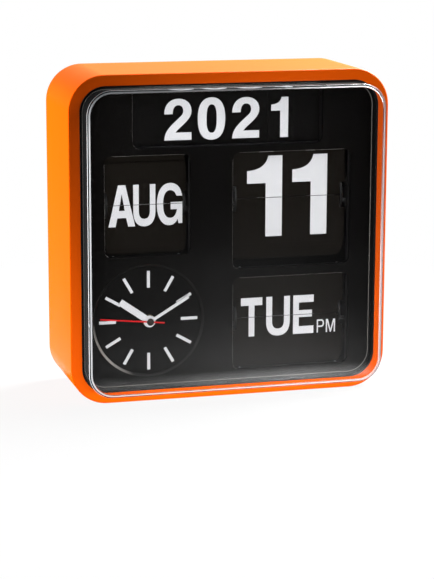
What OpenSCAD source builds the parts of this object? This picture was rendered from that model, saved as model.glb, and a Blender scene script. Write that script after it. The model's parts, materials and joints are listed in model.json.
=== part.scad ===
// Flip-calendar wall clock: an orange case behind a clear box lens, with split-flap month, date and day,
// a year card and a small quartz dial. Front faces -Y, X to the right, Z up, origin under the middle of the case.

/* [Case] */
// Width of the case
case_w = 240; // [210:1:300]
// Height of the case
case_h = 240; // [210:1:300]
// Depth of the case, from the front rim to the back edge
case_d = 83.5; // [82:0.5:110]
// Outer corner radius of the case
case_r = 27; // [22:1:32]
// Wall thickness of the case
case_t = 3; // [2:0.1:3.4]
// Width of the front band around the lens
band_w = 8.4; // [8:0.1:10]
// Thickness of the front band
band_t = 3.2; // [2.8:0.1:5]

/* [Lens and panel] */
// How far the lens stands out in front of the rim
lens_proud = 21.5; // [21:0.5:30]
// Wall thickness of the lens
lens_t = 1.8; // [1.2:0.1:2.5]
// Thickness of the lens's front face
lens_face_t = 1.5; // [1:0.1:1.8]
// Gap between the lens and the opening in the band
lens_gap = 0.4; // [0.2:0.1:0.6]
// Width of the lens's clamped flange, outside its wall
flange_lip = 3.3; // [2.5:0.1:3.6]
// Thickness of the lens's clamped flange
flange_t = 1.8; // [1:0.1:2.5]
// Thickness of the dial panel
panel_t = 2.5; // [2.4:0.1:3.5]
// Gap around the dial panel
panel_gap = 0.4; // [0.2:0.1:0.8]
// Corner radius of the calendar windows
window_r = 5; // [3:0.5:8]
// Radius of a panel screw's shank
panel_screw_r = 1; // [0.8:0.1:1.2]
// Depth of a panel screw's hole below the panel
panel_screw_bite = 3.6; // [2:0.1:4]
// Distance from the middle of a side to its panel screws
panel_screw_x = 60; // [40:1:85]

/* [Calendar windows] */
// Month window: gap to the left edge of the opening
month_margin = 18.3; // [12:0.1:24]
// Month window: width
month_w = 63.9; // [58:0.1:66]
// Month window: height of the split line
month_split = 143.7; // [140:0.1:146]
// Month window: reach above the split line
month_up = 37; // [34:0.1:39]
// Month window: reach below the split line
month_down = 36.7; // [33:0.1:40]
// Date window: gap to the month window
date_gap = 31.8; // [24:0.1:40]
// Date window: gap to the right edge of the opening
date_margin = 18.8; // [16:0.1:28]
// Date window: height of the split line
date_split = 145.1; // [144.8:0.1:146.8]
// Date window: reach above the split line
date_up = 35.4; // [35:0.1:36.5]
// Date window: reach below the split line
date_down = 50.6; // [40:0.1:51]
// Day window: gap to the dial's bevel
day_gap = 21.8; // [16:0.1:30]
// Day window: gap to the right edge of the opening
day_margin = 18.8; // [16:0.1:28]
// Day window: height of the split line
day_split = 55.2; // [50:0.1:55.4]
// Day window: reach above the split line
day_up = 32.3; // [32.2:0.1:33]
// Day window: reach below the split line
day_down = 37; // [33:0.1:38]
// Year window: middle, across
year_x = -0.8; // [-4:0.1:4]
// Year window: width
year_w = 143.4; // [120:0.1:146]
// Year window: gap to the date window
year_gap = 5.4; // [5.3:0.1:8]
// Year window: gap to the upper edge of the opening
year_margin = 1.6; // [1.2:0.1:6]

/* [Flaps] */
// Depth of the flap leaves behind the front of the panel
leaf_set = 8.5; // [8.4:0.1:12]
// Thickness of a leaf
leaf_t = 0.3; // [0.2:0.02:0.32]
// Corner radius of a leaf's free end
leaf_corner = 3.5; // [1:0.5:6]
// Gap between a leaf's side and the window's edge
leaf_side_gap = 1.4; // [1:0.1:4]
// Half of the gap between the upper and the lower leaf
split_gap = 0.3; // [0.2:0.05:0.5]
// Width of a month leaf's notch beside the drum flange
month_notch_w = 2.5; // [2.4:0.1:4]
// Width of a date or day leaf's notch beside the drum flange
wide_notch_w = 4; // [3.6:0.1:6]
// Height of a month leaf above the split line
month_leaf_h = 31; // [28:0.1:32]
// Height of a date leaf above the split line
date_leaf_h = 34; // [30:0.1:34]
// Height of a day leaf above the split line
day_leaf_h = 32; // [28:0.1:32]
// Radius of the circle of month leaf pins
month_pin_circle = 10; // [9.5:0.1:11]
// Radius of the circle of date leaf pins
date_pin_circle = 16; // [15.6:0.1:17]
// Radius of the circle of day leaf pins
day_pin_circle = 11; // [10.5:0.1:12]
// Radius of a leaf's hinge pin
leaf_pin_r = 0.45; // [0.3:0.05:0.5]
// Thickness of a drum flange
drum_flange_t = 1.5; // [1:0.1:1.8]
// Rim of a drum flange outside the pin circle
drum_rim = 1.6; // [1.2:0.1:1.8]
// Radius of the drum's tube
drum_tube_r = 4; // [3:0.1:5]
// Radius of the drum's spindle
spindle_r = 2.5; // [1.8:0.1:2.8]
// Thickness of a frame cheek
cheek_t = 1.5; // [1.2:0.1:1.8]
// Gap between a leaf's side and the frame cheek
cheek_gap = 0.8; // [0.5:0.1:1]
// Height of a frame's rails
rail_h = 2.6; // [2.2:0.1:2.7]
// Depth of a frame's rails
rail_d = 3; // [2:0.1:3.4]
// Height of a cheek's arm
arm_h = 12; // [11.5:0.5:14]
// Teeth on a drum gear
drum_teeth = 36; // [30:1:40]
// Teeth on a motor pinion
motor_teeth = 10; // [9:1:12]
// Tooth module of the flap gears
flap_module = 0.8; // [0.7:0.05:0.85]
// Width of the flap gears
flap_gear_w = 3; // [2:0.1:4]
// Radius of a flap motor
motor_r = 5; // [4:0.1:6]
// Length of a flap motor
motor_len = 14; // [10:0.5:16]
// Radius of a flap motor's shaft
motor_shaft_r = 1; // [0.8:0.1:1.2]
// Radius of a frame screw's shank
frame_screw_r = 0.8; // [0.6:0.05:0.9]
// Radius of a frame screw's head
frame_screw_head_r = 1.5; // [1.2:0.1:1.6]
// Height of a frame screw's head
frame_screw_head_h = 1; // [0.8:0.1:1.5]
// Depth of a frame screw in the panel
frame_screw_bite = 1.9; // [1.2:0.1:2]

/* [Dial and hands] */
// Gap between the dial's bevel and the left edge of the opening
dial_margin = 8.6; // [6:0.1:14]
// Middle of the dial, height
dial_z = 59.2; // [55:0.1:60]
// Radius of the dial disc
dial_r = 40; // [38:0.1:41]
// Thickness of the dial disc
dial_t = 0.6; // [0.4:0.1:0.8]
// Depth of the dial's face below the panel's face
dial_sink = 1; // [0.6:0.1:1.2]
// Width of the bevel around the dial
dial_bevel = 2; // [1:0.1:2.4]
// Inner end of an hour marker
marker_in = 24.4; // [20:0.1:28]
// Outer end of an hour marker
marker_out = 36.9; // [32:0.1:37.5]
// Width of an hour marker
marker_w = 2.2; // [1.5:0.1:4]
// Height of an hour marker above the dial
marker_t = 0.5; // [0.2:0.1:1]
// Hour hand: length
hour_len = 26.8; // [20:0.1:30]
// Hour hand: width
hour_w = 5; // [3:0.1:6]
// Hour hand: angle from 12, clockwise
hour_angle = 305.2; // [0:0.1:360]
// Minute hand: length
minute_len = 33.7; // [28:0.1:38]
// Minute hand: width
minute_w = 2.2; // [1.5:0.1:4]
// Minute hand: angle from 12, clockwise
minute_angle = 59.6; // [0:0.1:360]
// Second hand: length
second_len = 37.5; // [30:0.1:38.5]
// Second hand: length of the tail
second_tail = 10.7; // [6:0.1:14]
// Second hand: width
second_w = 1; // [0.6:0.1:1.4]
// Second hand: angle from 12, clockwise
second_angle = 276; // [0:0.1:360]
// Thickness of a hand
hand_t = 0.6; // [0.3:0.1:0.8]
// Radius of the hour hand's hub
hour_hub_r = 4.4; // [3.6:0.1:6]
// Radius of the minute hand's hub
minute_hub_r = 3.6; // [2.5:0.1:5]
// Radius of the hand cap
cap_r = 2.6; // [2:0.1:4]
// Height of the hand cap
cap_h = 1.5; // [1:0.1:2.5]

/* [Movement] */
// Width and height of the movement
movement_w = 56; // [54:0.5:60]
// Depth of the movement
movement_d = 16; // [15:0.5:20]
// Wall thickness of the movement
movement_t = 1.5; // [1:0.1:2]
// Thickness of the movement's front plate
plate_t = 2; // [1.5:0.1:3]
// Radius of the threaded stem
stem_r = 3.5; // [3:0.1:4]
// Radius of the hour pipe
hour_pipe_r = 2.2; // [2:0.05:2.5]
// Radius of the minute pipe
minute_pipe_r = 1.2; // [1:0.05:1.5]
// Radius of the second arbor and of the wheel pivots
arbor_r = 0.5; // [0.4:0.05:0.6]
// Radius of the stem nut
nut_r = 4.6; // [4.4:0.1:6]
// Thickness of the stem nut
nut_t = 2; // [1.5:0.1:2.4]
// Tooth module of the third wheel and the second pinion
second_module = 0.36; // [0.34:0.01:0.38]
// Tooth module of the motion work
motion_module = 0.42; // [0.4:0.01:0.44]
// Radius of the setting knob
knob_r = 7; // [5:0.1:8]
// Thickness of the setting knob
knob_t = 3.5; // [2:0.1:5]
// Radius of the setting knob's shaft
knob_shaft_r = 1.2; // [1:0.1:1.5]

/* [Back] */
// Thickness of the back cover
cover_t = 2.5; // [2:0.1:3.5]
// Depth of the back cover behind the case's back edge
cover_set = 1; // [0.9:0.1:2]
// Gap around the back cover
cover_gap = 0.4; // [0.2:0.1:0.8]
// Radius of a back screw's shank
back_screw_r = 1.4; // [1:0.1:1.8]
// Length of a back screw's shank
back_screw_len = 12; // [8:0.5:16]
// Radius of a back screw boss
back_boss_r = 4; // [3:0.1:5]
// Radius of the hanger's entry hole
keyhole_r = 4.5; // [4:0.1:6]
// Radius of the hanger's slot
keyhole_slot_r = 2.25; // [1.5:0.05:2.6]
// Rise of the hanger's slot
keyhole_rise = 9; // [7:0.5:12]
// Distance from the top of the case to the hanger's entry hole
keyhole_drop = 40; // [30:1:50]
// Thickness of the hanger plate
hanger_t = 1.5; // [1:0.1:2]
// Radius of the calendar cell
d_cell_r = 17.1; // [16.5:0.1:17.5]
// Length of the calendar cell
d_cell_len = 61.5; // [60:0.1:62]
// Gap between the calendar cell's door and the case's wall
d_bay_margin = 2.3; // [1:0.1:8]
// Radius of the clock cell
aa_cell_r = 7.15; // [6.8:0.05:7.3]
// Length of the clock cell
aa_cell_len = 50; // [48:0.1:51]
// Gap between the setting knob and the clock cell's door
aa_bay_gap = 4.4; // [2:0.1:10]
// Height of the middle of both cell bays
bay_z = 60; // [58:0.5:66]
// Wall thickness of a cell bay
bay_t = 1.5; // [1:0.1:2]
// Room for a contact at each end of a cell
contact_room = 2.4; // [2:0.1:4]
// Thickness of a cell door
door_t = 1.2; // [0.8:0.1:1.5]
// Lip of a cell door around its bay
door_lip = 2; // [1.5:0.1:3]
// Gap around a cell door
door_gap = 0.3; // [0.2:0.05:0.5]
// Gap between the control board and the case's wall
board_margin = 35; // [28:0.5:42]
// Height of the set buttons
button_z = 98; // [97:0.5:100]
// Distance between set buttons
button_pitch = 20; // [14:0.5:22]
// Radius of a set button
button_r = 4; // [3:0.1:5]
// How far a set button stands out of the cover
button_proud = 0.8; // [0.5:0.1:0.9]
// Travel of a set button
button_travel = 1.2; // [0.8:0.1:1.5]
// Distance from the back cover to the control board
board_set = 10; // [9:0.5:12]

/* [Hidden] */
$fn = 64;

// Clearances shared by every fit
cut = 1;
weld = 0.2;
run_fit = 0.06;
seat_fit = 0.03;
screw_fit = 0.02;
play = 0.3;

// Depths, front to back
rim_y = (lens_proud - case_d) / 2;
back_y = rim_y + case_d;
lens_y = rim_y - lens_proud;
band_y = rim_y + band_t;
panel_y = band_y + flange_t;
panel_back = panel_y + panel_t;
rail_back = panel_back + rail_d;
leaf_y = panel_y + leaf_set;
cover_out = back_y - cover_set;
cover_in = cover_out - cover_t;
dial_y = panel_y + dial_sink;

// Case and lens outlines
mid_z = case_h / 2;
in_w = case_w - 2 * case_t;
in_h = case_h - 2 * case_t;
in_r = case_r - case_t;
open_w = case_w - 2 * band_w;
open_h = case_h - 2 * band_w;
open_r = case_r - band_w;
lens_w = open_w - 2 * lens_gap;
lens_h = open_h - 2 * lens_gap;
lens_r = open_r - lens_gap;
open_edge = open_w / 2;
open_top = case_h - band_w;
panel_boss_wall = 1.6;
panel_boss_r = panel_screw_r + panel_boss_wall;
panel_head_lip = 1;
panel_head_r = panel_screw_r + panel_head_lip;
panel_head_h = 1.2;
boss_sink = 0.3;
panel_boss_out = panel_boss_r - boss_sink;
panel_screw_at = [for (s = [-1, 1], t = [-1, 1], turned = [false, true])
    turned ? [t * panel_screw_x, mid_z + s * (in_h / 2 - panel_boss_out)]
        : [s * (in_w / 2 - panel_boss_out), mid_z + t * panel_screw_x]];
back_boss_root = 6;
back_boss_len = back_screw_len + back_boss_root;
back_boss_in = (in_r - back_boss_r + boss_sink) * sqrt(0.5);
back_screw_at = [for (s = [-1, 1], t = [-1, 1])
    [s * (in_w / 2 - in_r + back_boss_in), mid_z + t * (in_h / 2 - in_r + back_boss_in)]];
back_head_r = 2 * back_screw_r;

// Windows and dial, placed from the edges of the opening
month_x = month_margin + month_w / 2 - open_edge;
date_left = month_x + month_w / 2 + date_gap;
date_right = open_edge - date_margin;
dial_x = dial_margin + dial_bevel + dial_r - open_edge;
day_left = dial_x + dial_r + dial_bevel + day_gap;
day_right = open_edge - day_margin;
year_z = date_split + date_up + year_gap;
year_h = open_top - year_margin - year_z;

// Readings
months = 12;
dates = 31;
day_halves = 14;
hours = 12;

// Flap modules: middle, split height, window width, reach up and down, leaf count, pin circle, leaf height,
// notch width
MONTH = [month_x, month_split, month_w, month_up, month_down, months, month_pin_circle, month_leaf_h,
    month_notch_w];
DATE = [(date_left + date_right) / 2, date_split, date_right - date_left, date_up, date_down, dates,
    date_pin_circle, date_leaf_h, wide_notch_w];
DAY = [(day_left + day_right) / 2, day_split, day_right - day_left, day_up, day_down, day_halves,
    day_pin_circle, day_leaf_h, wide_notch_w];
fan_tilt = 8;
notch_gap = 0.6;
rail_gap = 0.2;
catch_h = 3;
catch_drop = 5.5;
catch_d = 2.4;
motor_wall = 3;
motor_plate_t = 1.5;
motor_hold = 8;
motor_gap = 1;
pin_facets = 24;
arc_steps = 4;
function mid_x(s) = s[0];
function split(s) = s[1];
function win_w(s) = s[2];
function win_top(s) = s[1] + s[3];
function win_bottom(s) = s[1] - s[4];
function count(s) = s[5];
function pin_circle(s) = s[6];
function half_step(s) = 180 / count(s);
function pin_rise(s) = pin_circle(s) * sin(half_step(s));
function drum_y(s) = leaf_y + pin_circle(s) * cos(half_step(s));
function leaf_half(s) = win_w(s) / 2 - leaf_side_gap;
function narrow_half(s) = leaf_half(s) - s[8];
function leaf_reach(s) = s[7] - pin_rise(s);
function leaf_tail(s) = pin_rise(s) - split_gap;
function flange_r(s) = pin_circle(s) + drum_rim;
function notch_h(s) = sqrt(pow(flange_r(s), 2) - pow(pin_circle(s), 2)) + notch_gap;
function flange_in(s) = narrow_half(s) + play;
function flange_out(s) = flange_in(s) + drum_flange_t;
function cheek_in(s) = leaf_half(s) + cheek_gap;
function cheek_out(s) = cheek_in(s) + cheek_t;
function gear_in(s) = cheek_out(s) + play;
function gear_out(s) = gear_in(s) + flap_gear_w;
function plate_in(s) = gear_out(s) + motor_gap;
function motor_in(s) = plate_in(s) + motor_plate_t;
function rail_z(s, side) = side > 0 ? win_top(s) + rail_gap + rail_h / 2 : win_bottom(s) - rail_gap - rail_h / 2;
function pin_angle(s, k) = half_step(s) * (2 * k + 1);
function lean(angle) = angle <= 180 ? angle - fan_tilt : 180;
flap_centres = flap_module * (drum_teeth + motor_teeth) / 2;
rail_screw_in = 6;

// Year holder and its card
holder_lip = 2;
holder_t = 1.2;
card_t = 0.8;
card_w = year_w + 2 * holder_lip;
holder_w = card_w + 2 * holder_t;
holder_h = year_h + 2 * holder_lip;
holder_mid_z = year_z + year_h / 2;
ear_w = 6;
ear_in = 4.05;
ear_h = holder_h - 2 * ear_in;
ear_screw_in = 5;
holder_screw_z = ear_h / 2 - ear_screw_in;
digit_w = 20;
digit_in = 30;
digit_x = year_x + year_w / 2 - digit_in;
digit_gap = 4.05;
digit_h = year_h - 2 * digit_gap;
digit_t = 0.4;
frame_screw_at = concat(
    [for (s = [MONTH, DATE, DAY], a = [-1, 1], b = [-1, 1])
        [mid_x(s) + a * (leaf_half(s) - rail_screw_in), rail_z(s, b)]],
    [for (a = [-1, 1], b = [-1, 1])
        [year_x + a * (holder_w + ear_w) / 2, holder_mid_z + b * holder_screw_z]]);

// Wheel train: teeth, layers and arbors, measured back from the movement's front
second_teeth = 8;
third_teeth = 60;
third_pinion_teeth = 8;
minute_teeth = 64;
cannon_teeth = 10;
motion_teeth = 30;
motion_pinion_teeth = 8;
hour_teeth = 32;
knob_teeth = 12;
knob_ribs = 24;
third_off = second_module * (second_teeth + third_teeth) / 2;
minute_module = 2 * third_off / (third_pinion_teeth + minute_teeth);
motion_off = motion_module * (cannon_teeth + motion_teeth) / 2;
knob_off = motion_off + motion_module * (motion_teeth + knob_teeth) / 2;
movement_y = panel_back;
plate_back = movement_y + plate_t;
movement_back = movement_y + movement_d;
cover_floor = movement_back - movement_t;
wheel_t = 0.8;
hour_layer = plate_back + play;
motion_layer = hour_layer + wheel_t + 2 * play;
minute_layer = motion_layer + wheel_t + 2 * play;
third_layer = minute_layer + wheel_t + 2 * play;
arbor_back = cover_floor + movement_t / 2;
stem_proud = 1;
stem_end = dial_y - nut_t - stem_proud;
hour_hand_y = stem_end - play - hand_t;
hour_pipe_end = hour_hand_y - play;
minute_hand_y = hour_pipe_end - play - hand_t;
minute_pipe_end = minute_hand_y - play;
second_hand_y = minute_pipe_end - play - hand_t;
cap_y = second_hand_y - cap_h;
post_r = 0.7;
coil_w = 26;
coil_r = 4;
coil_drop = 18;
coil_end = 2;
pressure_angle = 28;
addendum = 0.8;
dedendum = 1.05;
tooth_share = 0.8;

// Cell bays, from the doors inwards
d_bay_x = d_bay_margin + door_gap + door_lip + play + d_cell_r - in_w / 2;
knob_edge = dial_x + knob_off + knob_r + 2 * play;
aa_bay_x = knob_edge + aa_bay_gap + door_gap + door_lip + play + aa_cell_r;
door_in = cover_out - door_t;
d_cell_y = door_in - play - d_cell_r;
aa_cell_y = door_in - play - aa_cell_r;
contact_t = 0.6;
contact_share = 0.6;
stub_share = 0.25;
nub_share = 0.33;

// Hanger, board and buttons
hanger_w = 36;
hanger_h = 40;
keyhole_z = case_h - keyhole_drop;
hanger_mid = keyhole_z + keyhole_rise / 2;
hanger_post_x = 14;
hanger_post_r = 1.5;
hanger_margin = 2;
board_end = 12;
board_w = 2 * (button_pitch + board_end);
board_h = 14;
button_x = in_w / 2 - board_margin - board_w / 2;
board_t = 1.6;
board_y = cover_in - board_set;
board_post_r = 2.5;
board_pin_r = 1;
board_post_in = 4;
board_post_x = board_w / 2 - board_post_in;
switch_w = 6;
switch_h = 3.5;
button_flange = 1.5;
button_flange_t = 1.4;
button_stem_r = 1.5;
button_face = cover_out + button_proud;
button_root = cover_in - play - button_flange_t;

// A round-cornered rectangle, centred
module rounded(w, h, r) {
    square([w - 2 * r, h], center = true);
    square([w, h - 2 * r], center = true);
    for (sx = [-1, 1], sy = [-1, 1]) translate([sx * (w / 2 - r), sy * (h / 2 - r)]) circle(r);
}

// Raises an outline drawn in X and Z from depth y0 to depth y1
module deep(y0, y1) { translate([0, y1, 0]) rotate([90, 0, 0]) linear_extrude(y1 - y0) children(); }

// Raises an outline of the case, centred on the case
module case_block(w, h, r, y0, y1) { translate([0, 0, mid_z]) deep(y0, y1) rounded(w, h, r); }

// Round rods along Y and along X
module rod_y(r, y0, y1) { translate([0, y1, 0]) rotate([90, 0, 0]) cylinder(r = r, h = y1 - y0); }
module rod_x(r, x0, x1) { translate([x0, 0, 0]) rotate([0, 90, 0]) cylinder(r = r, h = x1 - x0); }

// A box given by its limits
module box(x0, x1, y0, y1, z0, z1) { translate([x0, y0, z0]) cube([x1 - x0, y1 - y0, z1 - z0]); }

// An involute gear, with a tooth on the outline's X axis
function involute(a) = tan(a) - a * PI / 180;
function polar(r, a) = [r * cos(a), r * sin(a)];
function half_tooth(r, teeth, m) = let(base = m * teeth / 2 * cos(pressure_angle))
    90 / teeth * tooth_share
    + (involute(pressure_angle) - (r > base ? involute(acos(base / r)) : 0)) * 180 / PI;
module gear_outline(teeth, m) {
    pitch = m * teeth / 2;
    root = pitch - dedendum * m;
    tip = pitch + addendum * m;
    base = max(root, pitch * cos(pressure_angle));
    radii = [root, base, (base + tip) / 2, tip];
    polygon([for (k = [0:teeth - 1], side = [-1, 1], i = [0:3])
        let(r = radii[side < 0 ? i : 3 - i])
        polar(r, 360 * k / teeth + side * half_tooth(r, teeth, m))]);
}
module gear_y(teeth, m, y0, y1, turn = 0) { deep(y0, y1) rotate(turn) gear_outline(teeth, m); }
module gear_x(teeth, m, x0, x1, turn = 0) {
    translate([x0, 0, 0]) rotate([0, 90, 0]) linear_extrude(x1 - x0) rotate(90 + turn) gear_outline(teeth, m);
}

// Case

module case_shell() {
    color("darkorange") difference() {
        union() {
            difference() {
                case_block(case_w, case_h, case_r, rim_y, back_y);
                case_block(in_w, in_h, in_r, band_y, back_y + cut);
                case_block(open_w, open_h, open_r, rim_y - cut, band_y + cut);
            }
            for (p = panel_screw_at) translate([p[0], 0, p[1]]) rod_y(panel_boss_r, band_y - weld, panel_y);
            for (p = back_screw_at) translate([p[0], 0, p[1]]) rod_y(back_boss_r, cover_in - back_boss_len, cover_in);
        }
        for (p = panel_screw_at) translate([p[0], 0, p[1]])
            rod_y(panel_screw_r + screw_fit, panel_y - panel_screw_bite - play, panel_y + cut);
        for (p = back_screw_at) translate([p[0], 0, p[1]])
            rod_y(back_screw_r + screw_fit, cover_out - back_screw_len - play, cover_in + cut);
    }
}

module front_lens() {
    color("lightcyan", 0.4) difference() {
        union() {
            case_block(lens_w, lens_h, lens_r, lens_y, panel_y);
            case_block(lens_w + 2 * flange_lip, lens_h + 2 * flange_lip, lens_r + flange_lip, band_y, panel_y);
        }
        case_block(lens_w - 2 * lens_t, lens_h - 2 * lens_t, lens_r - lens_t, lens_y + lens_face_t, panel_y + cut);
        for (p = panel_screw_at) translate([p[0], 0, p[1]]) rod_y(panel_boss_r + play, band_y - cut, panel_y + cut);
    }
}

module window(x, w, z0, z1) {
    translate([x, 0, (z0 + z1) / 2]) deep(panel_y - cut, panel_back + cut) rounded(w, z1 - z0, window_r);
}

module dial_panel() {
    color("black") difference() {
        case_block(in_w - 2 * panel_gap, in_h - 2 * panel_gap, in_r - panel_gap, panel_y, panel_back);
        for (s = [MONTH, DATE, DAY]) window(mid_x(s), win_w(s), win_bottom(s), win_top(s));
        window(year_x, year_w, year_z, year_z + year_h);
        translate([dial_x, 0, dial_z]) {
            rod_y(dial_r + play, panel_y - cut, dial_y + dial_t);
            translate([0, dial_y, 0]) rotate([90, 0, 0])
                cylinder(r1 = dial_r + play, r2 = dial_r + dial_bevel, h = dial_sink);
            rod_y(stem_r + play, panel_y, panel_back + cut);
        }
        for (p = panel_screw_at) translate([p[0], 0, p[1]]) rod_y(panel_screw_r + play, panel_y - cut, panel_back + cut);
        for (p = frame_screw_at) translate([p[0], 0, p[1]])
            rod_y(frame_screw_r + screw_fit, panel_back - frame_screw_bite - weld, panel_back + cut);
    }
}

// A pan-head screw along Y, head at depth y and shank running forward
module screw(shank_r, head_r, head_h, len, y) {
    rod_y(shank_r, y - len, y + weld);
    rod_y(head_r, y, y + head_h);
}

module panel_screws() {
    color("silver") for (p = panel_screw_at) translate([p[0], 0, p[1]])
        screw(panel_screw_r, panel_head_r, panel_head_h, panel_t + panel_screw_bite, panel_back);
}

module frame_screws() {
    color("silver") for (p = frame_screw_at) translate([p[0], 0, p[1]])
        screw(frame_screw_r, frame_screw_head_r, frame_screw_head_h, rail_d + frame_screw_bite, rail_back);
}

// Year

module year_holder() {
    color("dimgray") translate([year_x, 0, holder_mid_z]) difference() {
        union() {
            box(-holder_w / 2, holder_w / 2, panel_back, leaf_y + card_t + play + holder_t, -holder_h / 2, holder_h / 2);
            for (side = [-1, 1]) translate([side * (holder_w + ear_w) / 2, 0, 0])
                box(-ear_w / 2 - weld, ear_w / 2 + weld, panel_back, rail_back, -ear_h / 2, ear_h / 2);
        }
        box(-year_w / 2, year_w / 2, panel_back - cut, leaf_y + cut, -year_h / 2, year_h / 2);
        box(-card_w / 2 - play, holder_w / 2 + cut, leaf_y, leaf_y + card_t + play,
            -year_h / 2 - holder_lip / 2 - play, year_h / 2 + holder_lip / 2 + play);
        for (a = [-1, 1], b = [-1, 1]) translate([a * (holder_w + ear_w) / 2, 0, b * holder_screw_z])
            rod_y(frame_screw_r + screw_fit, panel_back - cut, rail_back + cut);
    }
}

module year_card() {
    color("black") translate([year_x, 0, holder_mid_z])
        box(-card_w / 2, card_w / 2, leaf_y, leaf_y + card_t, -(year_h + holder_lip) / 2, (year_h + holder_lip) / 2);
}

module year_digit() {
    color("black") translate([digit_x, 0, holder_mid_z - holder_lip])
        box(-digit_w / 2, digit_w / 2, leaf_y - digit_t, leaf_y, -digit_h / 2, digit_h / 2);
}

// Dial and hands

module dial_disc() {
    color("black") translate([dial_x, 0, dial_z]) difference() {
        rod_y(dial_r, dial_y, dial_y + dial_t);
        rod_y(stem_r + play, dial_y - cut, dial_y + dial_t + cut);
    }
}

module hour_markers() {
    color("white") translate([dial_x, 0, dial_z]) for (k = [0:hours - 1]) rotate([0, 360 / hours * k, 0])
        box(-marker_w / 2, marker_w / 2, dial_y - marker_t, dial_y, marker_in, marker_out);
}

module hour_hand() {
    color("white") translate([dial_x, 0, dial_z]) rotate([0, hour_angle, 0]) difference() {
        union() {
            box(-hour_w / 2, hour_w / 2, hour_hand_y, hour_hand_y + hand_t, 0, hour_len);
            rod_y(hour_hub_r, hour_hand_y, hour_hand_y + hand_t);
        }
        rod_y(hour_pipe_r + seat_fit, hour_hand_y - cut, hour_hand_y + hand_t + cut);
    }
}

module minute_hand() {
    color("white") translate([dial_x, 0, dial_z]) rotate([0, minute_angle, 0]) difference() {
        union() {
            box(-minute_w / 2, minute_w / 2, minute_hand_y, minute_hand_y + hand_t, 0, minute_len);
            rod_y(minute_hub_r, minute_hand_y, minute_hand_y + hand_t);
        }
        rod_y(minute_pipe_r + seat_fit, minute_hand_y - cut, minute_hand_y + hand_t + cut);
    }
}

module second_hand() {
    color("red") translate([dial_x, 0, dial_z]) rotate([0, second_angle, 0]) difference() {
        union() {
            box(-second_w / 2, second_w / 2, second_hand_y, second_hand_y + hand_t, -second_tail, second_len);
            rod_y(minute_pipe_r + play, second_hand_y, second_hand_y + hand_t);
        }
        rod_y(arbor_r + seat_fit, second_hand_y - cut, second_hand_y + hand_t + cut);
    }
}

module hand_cap() {
    color("saddlebrown") translate([dial_x, 0, dial_z]) difference() {
        rod_y(cap_r, cap_y, second_hand_y);
        rod_y(arbor_r + seat_fit, second_hand_y - cap_h / 2, second_hand_y + cut);
    }
}

// Quartz movement

module movement_plate() {
    color("dimgray") translate([dial_x, 0, dial_z]) difference() {
        union() {
            deep(movement_y, plate_back) rounded(movement_w, movement_w, window_r);
            rod_y(stem_r, stem_end, plate_back);
            translate([motion_off, 0, 0]) rod_y(post_r, plate_back - weld, motion_layer + wheel_t + play);
        }
        rod_y(hour_pipe_r + run_fit, stem_end - cut, plate_back + cut);
        translate([-third_off, 0, 0]) rod_y(arbor_r + run_fit, movement_y + plate_t / 2 - play, plate_back + cut);
        translate([knob_off, 0, 0]) rod_y(arbor_r + run_fit, movement_y + plate_t / 2 - play, plate_back + cut);
    }
}

module movement_cover() {
    inner_w = movement_w - 2 * movement_t;
    color("dimgray") translate([dial_x, 0, dial_z]) difference() {
        deep(plate_back, movement_back) rounded(movement_w, movement_w, window_r);
        deep(plate_back - cut, cover_floor) rounded(inner_w, inner_w, window_r - movement_t);
        rod_y(arbor_r + run_fit, cover_floor - cut, arbor_back + play / 2);
        translate([-third_off, 0, 0]) rod_y(arbor_r + run_fit, cover_floor - cut, arbor_back + play / 2);
        translate([knob_off, 0, 0]) rod_y(knob_shaft_r + run_fit, cover_floor - cut, movement_back + cut);
    }
}

module stem_nut() {
    color("gray") translate([dial_x, 0, dial_z]) difference() {
        rod_y(nut_r, dial_y - nut_t, dial_y);
        rod_y(stem_r + screw_fit, dial_y - nut_t - cut, dial_y + cut);
    }
}

module step_coil() {
    color("peru") translate([dial_x, cover_floor - coil_r, dial_z - coil_drop]) {
        rod_x(coil_r - coil_end / 2, -coil_w / 2, coil_w / 2);
        for (side = [-1, 1]) translate([side * (coil_w - coil_end) / 2, 0, 0])
            box(-coil_end / 2, coil_end / 2, -coil_r, coil_r, -coil_r, coil_r);
    }
}

module second_arbor() {
    color("gold") translate([dial_x, 0, dial_z]) {
        rod_y(arbor_r, second_hand_y - cap_h / 2 + play, arbor_back);
        gear_y(second_teeth, second_module, third_layer - weld, third_layer + wheel_t + weld, 180);
    }
}

module third_wheel() {
    color("gold") translate([dial_x - third_off, 0, dial_z]) {
        rod_y(arbor_r, movement_y + plate_t / 2, arbor_back);
        gear_y(third_pinion_teeth, minute_module, minute_layer - weld, minute_layer + wheel_t + weld);
        gear_y(third_teeth, second_module, third_layer, third_layer + wheel_t, 180 / third_teeth);
    }
}

module minute_wheel() {
    color("gold") translate([dial_x, 0, dial_z]) difference() {
        union() {
            rod_y(minute_pipe_r, minute_pipe_end, minute_layer + wheel_t);
            gear_y(cannon_teeth, motion_module, motion_layer - weld, motion_layer + wheel_t + weld);
            gear_y(minute_teeth, minute_module, minute_layer, minute_layer + wheel_t, 180 + 180 / minute_teeth);
        }
        rod_y(arbor_r + run_fit, minute_pipe_end - cut, minute_layer + wheel_t + cut);
    }
}

module motion_wheel() {
    color("gold") translate([dial_x + motion_off, 0, dial_z]) difference() {
        union() {
            gear_y(motion_pinion_teeth, motion_module, hour_layer, motion_layer + weld);
            gear_y(motion_teeth, motion_module, motion_layer, motion_layer + wheel_t, 180 + 180 / motion_teeth);
        }
        rod_y(post_r + run_fit, hour_layer - cut, motion_layer + wheel_t + cut);
    }
}

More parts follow.
